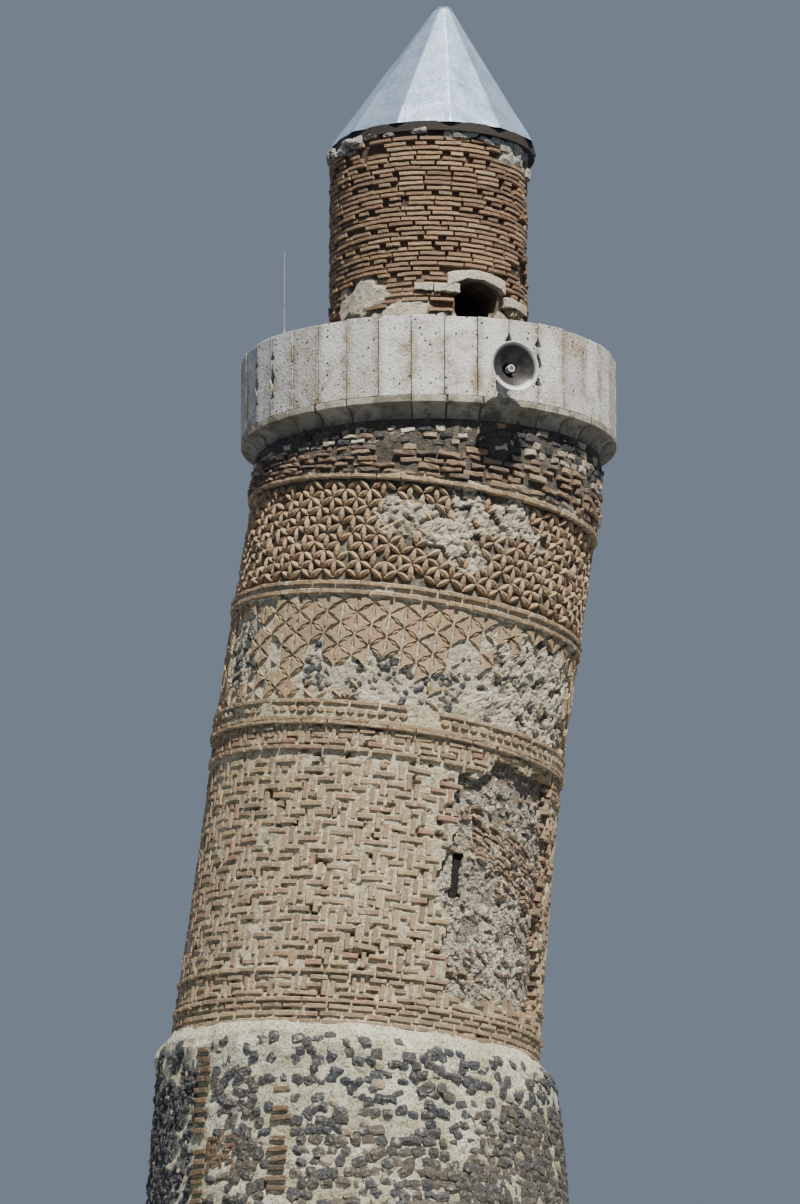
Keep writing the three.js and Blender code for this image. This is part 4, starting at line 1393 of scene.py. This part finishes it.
rng = random.Random(31)
angles = [(number + rng.uniform(-0.06, 0.06)) / CORNICE_STONES * FULL_TURN
          for number in range(CORNICE_STONES)]
stones = turned_copies(cornice_stone, "cornice_stone", angles, BALCONY_MIDDLE, half_stone)
cornice = join(stones, "cornice_stones")
weather(cornice, 0.005, 9)
# Painted shade: the cornice's stone is painted darker than the parapet's pale stone.
cornice_look, tree, shader, place = surface("cornice_stone", 0.85)
color = shades(tree, rgb(140, 134, 116), rgb(162, 156, 138), rgb(178, 172, 156))
color = tint(tree, step(tree, mottle(tree, place, 5, 7, 0.7), 0.46, 0.62), color, rgb(104, 96, 76))
grain = mottle(tree, place, 46, 5, 0.65)
color = tint(tree, step(tree, grain, 0.38, 0.32), color, rgb(66, 60, 50))
# Painted shade: the cove below the fascia is darker still.
height = put(tree, "ShaderNodeSeparateXYZ", Vector=place).outputs["Z"]
ledge = step(tree, height, 13.424, 13.432)
color = tint(tree, ledge, tint(tree, 0.35, color, rgb(70, 66, 54)), color)
coat(tree, shader, color, grain, 0.012)
fit(cornice, "pale_stone", cornice_look)
# The joint mortar is painted dark: partly its own dirt, partly painted shade in the shallow joints.
joint_mortar = mortar_look("joint_mortar", rgb(112, 104, 88), rgb(78, 72, 60), rgb(60, 54, 46), 0.46)
dress(joint_mortar, "balcony_front", "balcony_right", "balcony_back", "balcony_left")

# The parapet
# Thirty-six upright slabs of pale pitted stone stand edge to edge on the cornice, with mortar in their
# joints and along the top. Two pairs of joints are pierced by a drop, a lozenge and a small foot.

SLABS = 36
SLAB_RADIUS = 1.966
SLAB_THICKNESS = 0.125
SLAB_JOINT = 0.008
FIRST_JOINT = math.radians(4.5)
SLAB_TURN = FULL_TURN / SLABS
SLABS_IN_PANEL = 6
PIERCED_JOINTS = {1: (24.5, 34.5), 5: (-65.5, -55.5)}
PARAPET_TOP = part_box("parapet_slabs_1")[1].z

slab_height = PARAPET_TOP - FLOOR_LEVEL
slab_width = 2 * SLAB_RADIUS * math.sin(SLAB_TURN / 2) - SLAB_JOINT
face_distance = SLAB_RADIUS * math.cos(SLAB_TURN / 2)
slab = model("cube", "slab", size=1,
             location=(0, -face_distance + SLAB_THICKNESS / 2, FLOOR_LEVEL + slab_height / 2),
             scale=(slab_width, SLAB_THICKNESS, slab_height))
slab_points = corners(slab)
inner = slab_points[:, 1] > -face_distance + SLAB_THICKNESS / 2
slab_points[inner, 0] *= (face_distance - SLAB_THICKNESS) / face_distance
move_corners(slab, slab_points)
edit(slab, "EDGE")
bpy.ops.mesh.select_all(action="SELECT")
bpy.ops.mesh.bevel(offset=0.007, segments=2)
for line in range(1, 8):
    slice_at((0, 0, FLOOR_LEVEL + line / 8 * slab_height), (0, 0, 1))
for line in (-0.25, 0, 0.25):
    slice_at((line * slab_width, 0, 0), (1, 0, 0))
done()
rims = [1.0 if abs(corner[0]) > 0.4 * slab_width else 0.0 for corner in corners(slab)]
mark(slab, "rim", rims)


def cutter_of(name, outline):
    """A deep prism along y from an outline of across and height."""
    prism = model("circle", name, vertices=len(outline), radius=1, fill_type="NGON",
                  rotation=(math.pi / 2, 0, 0))
    move_corners(prism, np.array([(across, -face_distance - 0.2, height) for across, height in outline]))
    edit(prism)
    bpy.ops.mesh.select_all(action="SELECT")
    extrude(0.5)
    face_outward()
    done()
    return prism


drop = [(0, -0.120), (-0.012, -0.165), (-0.026, -0.200), (-0.046, -0.236), (-0.014, -0.246), (0, -0.262),
        (0.014, -0.246), (0.046, -0.236), (0.026, -0.200), (0.012, -0.165)]
lozenge = [(0, -0.290), (-0.050, -0.440), (-0.022, -0.500), (0, -0.545), (0.022, -0.500), (0.050, -0.440)]
foot = [(-0.012, -0.572), (-0.022, -0.606), (-0.044, -0.650), (0, -0.664), (0.044, -0.650), (0.022, -0.606),
        (0.012, -0.572)]
cutters = []
for label, outline in (("drop", drop), ("lozenge", lozenge), ("foot", foot)):
    cutters.append(cutter_of(label, [(across, PARAPET_TOP + height) for across, height in outline]))
chain = join(cutters, "pierced_chain")

rng = random.Random(37)
backing = model("cylinder", "parapet_joint_mortar", vertices=SLABS, radius=SLAB_RADIUS - 0.055,
                depth=slab_height - 0.02, end_fill_type="NOTHING",
                location=(0, 0, FLOOR_LEVEL + slab_height / 2), rotation=(0, 0, FIRST_JOINT))
change(backing, "SOLIDIFY", thickness=0.03)
points = corners(backing)
points[:, 0] += BALCONY_MIDDLE
move_corners(backing, points)

for panel in range(1, SLABS // SLABS_IN_PANEL + 1):
    first = FIRST_JOINT + SLAB_TURN * (SLABS_IN_PANEL * (panel - 1) + 1.5)
    angles = [first + SLAB_TURN * number + rng.uniform(-0.0006, 0.0006) for number in range(SLABS_IN_PANEL)]
    slabs = turned_copies(slab, f"parapet_{panel}_slab", angles, BALCONY_MIDDLE)
    for piece in slabs:
        points = corners(piece)
        away = points[:, :2] - (BALCONY_MIDDLE, 0)
        points[:, :2] += away / np.linalg.norm(away, axis=1)[:, None] * rng.uniform(-0.005, 0.004)
        top = points[:, 2] > PARAPET_TOP - 0.02
        points[top, 2] += rng.uniform(-0.006, 0.010)
        move_corners(piece, points)
    panel_slabs = join(slabs, f"parapet_{panel}")
    weather(panel_slabs, 0.004, 7)
    for joint in PIERCED_JOINTS.get(panel, ()):
        hole = turned_copies(chain, "hole", [math.radians(joint)], BALCONY_MIDDLE)[0]
        cut(panel_slabs, hole)
        cut(backing, hole)
        bpy.data.objects.remove(hole)
    fit(panel_slabs, "pale_stone", pale_stone, f"parapet_slabs_{panel}")
fit(backing, "pale_stone", joint_mortar)

# The lantern
# A narrow round wall of thin bricks with deep raked joints, many of them fallen out, and old plaster at
# its foot on the left. A doorway with a pale arch stone opens to the balcony, its right jamb broken.

LANTERN_RADIUS = 1.046
LANTERN_FOOT = FLOOR_LEVEL
LANTERN_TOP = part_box("lantern_wall_back")[1].z
LANTERN_COURSE = 0.0545
DOOR_MIDDLE = math.radians(30.5)
DOOR_WIDTH = 0.52
DOOR_SPRING = 14.905
DOOR_RISE = 0.10
BROKEN_MIDDLE = (72, 15.27)
DOOR_TOP = 15.15
PLASTER_PATCHES = (((-42, 14.86), 25, 0.24), ((-14, 14.64), 30, 0.17), ((150, 14.6), 40, 0.7),
                   ((-130, 14.4), 30, 0.5))


def lantern_wall(angle, height, out):
    """A place on the upright lantern, by the angle round from the front and the height."""
    reach = LANTERN_RADIUS + out
    return np.column_stack((BALCONY_MIDDLE + reach * np.sin(angle), -reach * np.cos(angle), height))


def plaster(angle, height):
    """How much old plaster covers the lantern's bricks at a place: more than nothing where it does."""
    spot = spot_at(angle, height, 1)
    ragged = noise.noise(spot * 3.4) * 0.55 + noise.noise(spot * 9) * 0.28
    return worst_patch(angle, height, PLASTER_PATCHES) + ragged - 0.14


def pointed(angle, height):
    """How much pale mortar still fills the lantern's joints at a place, from 0 to 1."""
    spot = spot_at(angle, height, 1)
    left = 0.5 - 0.5 * math.sin(angle - math.radians(10))
    return clamp((DOOR_TOP - height) * 1.6 * left + noise.noise(spot * 3) * 0.8)


def broken(angle, height):
    """How deep the wall is broken out at a place."""
    notch = patch(angle, height, BROKEN_MIDDLE, 16, 0.20)
    jamb = patch(angle, height, (62, 14.62), 22, 0.34)
    return clamp(notch * 2.5) * 0.11 + clamp(jamb * 2) * 0.07


def lantern_relief(angle, height, spot):
    rough = noise.noise(spot * 7) * 0.008 + noise.noise(spot * 19) * 0.008
    cover = clamp(plaster(angle, height) * 5)
    hollow = 0.022 * max(0, math.sin(angle - math.radians(5)))
    mortar_left = max(cover * 0.034, pointed(angle, height) * 0.022)
    return rough - 0.044 - hollow + mortar_left - broken(angle, height)


LANTERN = (lantern_wall, LANTERN_RADIUS)
lantern_bed = mortar_bed("lantern_mortar_bed", *LANTERN, LANTERN_FOOT, LANTERN_TOP, cell=0.030,
                         relief=lantern_relief, depth=0.31, dark_below=-0.2)
bpy.ops.mesh.primitive_cube_add(size=1)
door_cutter = bpy.context.object
edit(door_cutter)
for share in range(1, 8):
    slice_at((share / 8 - 0.5, 0, 0), (1, 0, 0))
done()
points = corners(door_cutter)
arch = DOOR_RISE * (1 - (points[:, 0] * 2) ** 2)
heights = np.where(points[:, 2] > 0, DOOR_SPRING + arch, LANTERN_FOOT - 0.05)
depths = -LANTERN_RADIUS + 0.15 + points[:, 1] * 0.9
opening = np.column_stack((points[:, 0] * DOOR_WIDTH, depths, heights))
move_corners(door_cutter, turned(opening, DOOR_MIDDLE, BALCONY_MIDDLE))
cut(lantern_bed, door_cutter)
amounts = []
for corner in corners(lantern_bed):
    angle = math.atan2(corner[0] - BALCONY_MIDDLE, -corner[1])
    amounts.append(clamp(max(plaster(angle, corner[2]) * 5, pointed(angle, corner[2]) * 0.8)))
mark(lantern_bed, "plaster", amounts)
# Painted shade: faces that lie inside the wall's face, as in the doorway and the inner rim, are marked near
# black.
depths = np.hypot(corners(lantern_bed)[:, 0] - BALCONY_MIDDLE, corners(lantern_bed)[:, 1])
inner_shade = np.clip((0.96 - depths) / 0.10, 0, 1)
mark(lantern_bed, "inner_shade", inner_shade)

lantern_mortar, tree, shader, place = surface("lantern_mortar", 0.95)
fine = mottle(tree, place, 34, 6, 0.7)
# The mortar in the raked joints is reddish brown, painted darker as painted shade in the deep joints.
earthy_and_shaded = tint(tree, step(tree, mottle(tree, place, 4, 6), 0.4, 0.65), rgb(100, 80, 67), rgb(76, 62, 52))
old_lime = step(tree, mottle(tree, place, 6, 6), 0.42, 0.66)
limed = tint(tree, old_lime, rgb(206, 198, 178), rgb(172, 160, 138))
color = tint(tree, marked(tree, "plaster"), earthy_and_shaded, limed)
color = tint(tree, step(tree, fine, 0.40, 0.30), color, rgb(60, 50, 42))
# Painted shade inside the wall's face.
color = tint(tree, marked(tree, "inner_shade"), color, rgb(44, 39, 35))
coat(tree, shader, color, fine, 0.02)
fit(lantern_bed, "lantern_brick", lantern_mortar, "lantern_wall_front", "lantern_wall_right",
    "lantern_wall_back", "lantern_wall_left", "lantern_wall_over_door")

rng = random.Random(41)
thin_brick = shape_block("thin_brick", arris_depth=0.10, face_long=0.975, face_high=0.82, cuts=3)
places = []
rows = int((LANTERN_TOP - LANTERN_FOOT) / LANTERN_COURSE)
for row in range(rows):
    up = LANTERN_FOOT + (row + 0.5) * LANTERN_COURSE
    for place in course(up, out=0.0, long=0.285, high=0.038, deep=0.16, wall_radius=LANTERN_RADIUS,
                        joint=0.004, wander=0.003):
        across, out, up_here, long, deep, high, turn, shade = place
        if rng.random() < 0.16:
            long *= 0.5
        angle = across / LANTERN_RADIUS
        spot = spot_at(angle, up * 2.2, 1.3)
        shaded = max(0, math.sin(angle - math.radians(5)))
        fallen = noise.noise(spot * 2.2) * 0.5 + rng.uniform(-0.3, 0.3) > 0.49 - 0.18 * shaded
        doorway = abs(angle - DOOR_MIDDLE) * LANTERN_RADIUS < DOOR_WIDTH / 2 + long / 2 - 0.01
        if doorway and up < DOOR_TOP:
            continue
        if plaster(angle, up) > 0.10 or fallen or broken(angle, up) > 0.05:
            continue
        out += rng.uniform(-0.012, 0.008)
        # Painted shade: on the right side more bricks take the darkest tones.
        if rng.random() < 0.6 * shaded:
            shade = rng.choice((0.0, 1.0))
        if plaster(angle, up) > -0.1:
            out -= 0.008
        places.append((across, out, up_here, long, deep, high, turn * 1.2, shade))
LANTERN_COLORS = (rgb(132, 110, 92), rgb(160, 138, 112), rgb(142, 122, 101), rgb(150, 122, 102),
                  rgb(170, 150, 124), rgb(118, 98, 82))
lantern_brick = brick_look("lantern_brick", LANTERN_COLORS, rgb(190, 174, 148), smear=0.62, grime=0.3)
fit(lay_round("lantern_bricks", thin_brick, places, *LANTERN, wear=0.007, grain=14),
    "lantern_brick", lantern_brick)


def curved_stone(name, left, right, foot, top, out, arch=0.0, crown=0.0):
    """A dressed stone of the lantern wall, its underside and its top arched if wanted."""
    bpy.ops.mesh.primitive_cube_add(size=1)
    stone = bpy.context.object
    stone.name = name
    edit(stone)
    for share in range(1, 10):
        slice_at((share / 10 - 0.5, 0, 0), (1, 0, 0))
    slice_at((0, 0, 0), (0, 0, 1))
    done()
    points = corners(stone)
    middle = (math.radians(left) + math.radians(right)) / 2 * LANTERN_RADIUS
    wide = math.radians(right - left) * LANTERN_RADIUS
    lift = 1 - (points[:, 0] * 2) ** 2
    share = points[:, 2] + 0.5
    ragged = np.array([noise.noise(Vector((value * 7, name.count("arch") * 3, 1)))
                       for value in points[:, 0]])
    heights = foot + (arch * lift + ragged * 0.035) * (1 - share) + share * (top - foot + crown * lift)
    depths = -out + (points[:, 1] + 0.5) * 0.22
    move_corners(stone, np.column_stack((middle + points[:, 0] * wide, depths, heights)))
    change(stone, "BEVEL", width=0.009, segments=2)
    wrap(stone, *LANTERN)
    give_shade(stone, rng.random())
    weather(stone, 0.012, 9)
    return stone


door_look = mortar_look("door_stone", rgb(214, 208, 192), rgb(192, 182, 160), rgb(164, 150, 124), 0.36)
arch_stone = curved_stone("door_arch_stone_dressed", 10.5, 49.0, 14.91, 15.055, 0.022, 0.105, 0.06)
fit(arch_stone, "pale_stone", door_look, "door_arch_stone")
for name, left, right, foot, top in (("door_left_stone", 3.0, 18.0, 14.855, 14.945),
                                     ("door_far_left_stone", -8.5, 2.5, 14.87, 14.945),
                                     ("door_right_stone", 50.5, 75, 14.80, 14.905)):
    fit(curved_stone(name, left, right, foot, top, 0.018), "pale_stone", door_look)

places = []
for number in range(46):
    angle = math.radians(rng.uniform(46, 88))
    up = rng.uniform(14.30, 14.78)
    places.append((angle * LANTERN_RADIUS, rng.uniform(-0.05, 0.0), up, rng.uniform(0.10, 0.22), 0.12,
                   rng.uniform(0.05, 0.09), rng.gauss(0, 0.2), rng.random()))
for number in range(26):
    angle = math.radians(rng.uniform(BROKEN_MIDDLE[0] - 13, BROKEN_MIDDLE[0] + 13))
    up = rng.uniform(15.10, 15.42)
    places.append((angle * LANTERN_RADIUS, rng.uniform(-0.11, -0.06), up, rng.uniform(0.10, 0.2), 0.1,
                   rng.uniform(0.03, 0.05), rng.gauss(0, 0.2), rng.random()))
fit(lay_round("lantern_broken_bricks", brick, places, *LANTERN, wear=0.02, grain=14),
    "lantern_brick", rubble_look)

# The roof
# Grey boards and a few stones on the wall's head carry a cone of twelve flat gores of zinc-coated sheet,
# lapped at their edges, dented and ragged at the eave, with a small flat cap. Its tip leans to the right.

GORES = 12
FIRST_GORE_EDGE = math.radians(9)
EAVE_RADIUS = 1.102
EAVE_MIDDLE = 0.785
EAVE_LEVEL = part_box("roof_cone")[0].z
TIP_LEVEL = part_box("roof_cone")[1].z
TIP_RADIUS = 0.098
TIP_SHIFT = 0.103
SHEET_THICKNESS = 0.004

sheet, tree, shader, place = surface("roof_sheet", 0.42, 0.55)
spangle = put(tree, "ShaderNodeTexVoronoi", Vector=place, Scale=34, Randomness=1).outputs["Color"]
flake = put(tree, "ShaderNodeSeparateColor", Color=spangle).outputs["Red"]
color = tint(tree, flake, rgb(164, 186, 208), rgb(184, 202, 220))
smudge = mottle(tree, place, 3.0, 8, 0.65)
color = tint(tree, times(tree, step(tree, smudge, 0.44, 0.68), 0.6), color, rgb(118, 138, 162))
speck = step(tree, mottle(tree, place, 20, 8, 0.75), 0.52, 0.68)
color = tint(tree, times(tree, speck, 0.6), color, rgb(100, 114, 132))
coat(tree, shader, color, smudge, 0.02, 0.6)

cone = model("cone", "roof_sheet_cone", vertices=GORES, radius1=EAVE_RADIUS, radius2=TIP_RADIUS,
             depth=TIP_LEVEL - EAVE_LEVEL, end_fill_type="NOTHING",
             location=(EAVE_MIDDLE, 0, (TIP_LEVEL + EAVE_LEVEL) / 2), rotation=(0, 0, FIRST_GORE_EDGE))
edit(cone, "EDGE")
bpy.ops.object.mode_set(mode="OBJECT")
for edge in cone.data.edges:
    ends = [cone.data.vertices[corner].co.z for corner in edge.vertices]
    edge.select = abs(ends[0] - ends[1]) > 0.5
bpy.ops.object.mode_set(mode="EDIT")
bpy.ops.mesh.bevel(offset=0.012, segments=2)
for share in (0.02, 0.06, 0.14, 0.26, 0.4, 0.55, 0.7, 0.85):
    slice_at((0, 0, EAVE_LEVEL + share * (TIP_LEVEL - EAVE_LEVEL)), (0, 0, 1))
for number in range(24):
    turn = FIRST_GORE_EDGE + (number + 0.5) * math.radians(7.5)
    slice_at((EAVE_MIDDLE, 0, 0), (math.cos(turn), math.sin(turn), 0))
done()
points = corners(cone)
share = (points[:, 2] - EAVE_LEVEL) / (TIP_LEVEL - EAVE_LEVEL)
points[:, 0] += share * TIP_SHIFT
for corner, part in zip(points, share):
    spot = Vector(corner)
    away = Vector((corner[0] - EAVE_MIDDLE - part * TIP_SHIFT, corner[1], 0)).normalized()
    dent = (noise.noise(spot * 3.1) * 0.012 + noise.noise(spot * 8) * 0.004) * (1 - part ** 3)
    corner[0] += away.x * dent
    corner[1] += away.y * dent
    if part < 0.01:
        corner[2] += noise.noise(spot * 5.5) * 0.022 - 0.008
move_corners(cone, points)
change(cone, "SOLIDIFY", thickness=SHEET_THICKNESS)
fit(cone, "roof_sheet", sheet, "roof_cone")
dress(sheet, "roof_cap")

# The eave boards are painted near black with a wood grain, as painted shade under the eave.
timber, tree, shader, place = surface("timber", 0.85)
long_grain = put(tree, "ShaderNodeMapping", Vector=place)
long_grain.inputs["Scale"].default_value = (3, 3, 30)
fibre = mottle(tree, long_grain.outputs["Vector"], 6, 6)
color = tint(tree, fibre, rgb(40, 35, 30), rgb(66, 58, 50))
coat(tree, shader, color, fibre, 0.01)
dress(timber, "eave_boards")

rng = random.Random(43)
places = []
for number in range(60):
    angle = number / 60 * FULL_TURN - math.pi
    if rng.random() < 0.25:
        continue
    places.append((angle * LANTERN_RADIUS, rng.uniform(0.0, 0.045), LANTERN_TOP - rng.uniform(-0.02, 0.06),
                   rng.uniform(0.08, 0.2), 0.12, rng.uniform(0.05, 0.1), rng.gauss(0, 0.1), rng.random()))
for number in range(16):
    angle = math.radians(rng.uniform(48, 84))
    places.append((angle * LANTERN_RADIUS, rng.uniform(0.01, 0.05), LANTERN_TOP - rng.uniform(0.02, 0.2),
                   rng.uniform(0.12, 0.2), 0.14, rng.uniform(0.07, 0.13), rng.gauss(0, 0.3), 0.9))
head_look = mortar_look("wall_head_mortar", rgb(196, 192, 180), rgb(150, 148, 142), rgb(118, 112, 102),
                        0.42)
fit(lay_round("lantern_head_stones", cobble, places, *LANTERN, wear=0.03, grain=9),
    "pale_stone", head_look)

# The loudspeaker
# A flared sheet horn, painted light grey, with a rolled rim and a small ringed nose inside, on a dark
# driver that a steel plate and arm hold off the parapet.

HORN_TURN = math.radians(22.2)
HORN_LEVEL = 13.755
MOUTH_RADIUS = 0.252
MOUTH_DISTANCE = 2.290
HORN_DEPTH = 0.235
THROAT_RADIUS = 0.042

horn = model("circle", "horn_shell", vertices=48, radius=THROAT_RADIUS, rotation=(math.pi / 2, 0, 0),
             location=(0, -(MOUTH_DISTANCE - HORN_DEPTH), 0))
edit(horn, "EDGE")
bpy.ops.mesh.select_all(action="SELECT")
reach = THROAT_RADIUS
steps = 12
for number in range(1, steps + 1):
    share = number / steps
    next_reach = THROAT_RADIUS + (MOUTH_RADIUS - THROAT_RADIUS) * share ** 1.8
    extrude(-HORN_DEPTH / steps)
    scale = next_reach / reach
    bpy.ops.transform.resize(value=(scale, 1, scale), center_override=(0, 0, 0))
    reach = next_reach
for outward, forward in ((0.005, -0.004), (0.004, 0.003), (0.0, 0.006)):
    extrude(forward)
    scale = (reach + outward) / reach
    bpy.ops.transform.resize(value=(scale, 1, scale), center_override=(0, 0, 0))
    reach += outward
face_outward()
done()
change(horn, "SOLIDIFY", thickness=0.004, offset=0)
bpy.ops.object.select_all(action="DESELECT")
horn.select_set(True)
bpy.ops.object.shade_smooth()

nose = model("cylinder", "horn_nose", vertices=24, radius=0.038, depth=0.10,
             location=(0, -(MOUTH_DISTANCE - HORN_DEPTH + 0.10), 0), rotation=(math.pi / 2, 0, 0))
edit(nose)
pick(nose, lambda middle, normal: normal.y < -0.9)
bpy.ops.mesh.inset(thickness=0.007)
bpy.ops.mesh.inset(thickness=0.005)
extrude(0.03)
bpy.ops.object.mode_set(mode="OBJECT")
edit(nose, "EDGE")
bpy.ops.mesh.select_all(action="SELECT")
bpy.ops.mesh.bevel(offset=0.002, segments=2)
done()

horn_paint, tree, shader, place = surface("horn_paint", 0.4)
dirt_and_shade = mottle(tree, place, 14, 7, 0.7)
# The inside is painted near black, partly as painted shade.
color = tint(tree, marked(tree, "inside"), rgb(206, 208, 206), rgb(50, 48, 46))
color = tint(tree, times(tree, step(tree, dirt_and_shade, 0.48, 0.70), 0.7), color, rgb(92, 86, 78))
coat(tree, shader, color, dirt_and_shade, 0.002)
# Painted light: a light band is left inside the mouth, wider at the bottom where sunlight falls in.
inner = [0.0] * len(horn.data.vertices)
for face in horn.data.polygons:
    middle = face.center
    lit_lip = 0.018 + 0.05 * max(0, -middle.z / MOUTH_RADIUS - 0.25)
    if face.normal.x * middle.x + face.normal.z * middle.z < -0.02 and middle.y > -MOUTH_DISTANCE + lit_lip:
        for corner in face.vertices:
            inner[corner] = 1.0
mark(horn, "inside", inner)

for piece in (horn, nose):
    move_corners(piece, turned(corners(piece), HORN_TURN, BALCONY_MIDDLE) + (0, 0, HORN_LEVEL))
fit(horn, "horn_shell", horn_paint, "horn_bell")
fit(nose, "horn_shell", horn_paint)

dark_plastic, tree, shader, place = surface("dark_plastic", 0.55)
dust = mottle(tree, place, 30, 6)
color = tint(tree, step(tree, dust, 0.5, 0.75), rgb(58, 58, 58), rgb(96, 92, 86))
coat(tree, shader, color, dust, 0.002)
dress(dark_plastic, "horn_driver")

steel, tree, shader, place = surface("steel", 0.5, 0.6)
rust = mottle(tree, place, 22, 7, 0.7)
color = tint(tree, step(tree, rust, 0.55, 0.72), rgb(158, 158, 156), rgb(118, 88, 66))
coat(tree, shader, color, rust, 0.002)
dress(steel, "horn_bracket", "parapet_rod")

# The finished tower
# The shapes that were copied are removed.

for shape in (block, brick, cobble, round_brick, boss, plate, leaf, cornice_stone, slab, chain, thin_brick,
              door_cutter):
    bpy.data.objects.remove(shape)
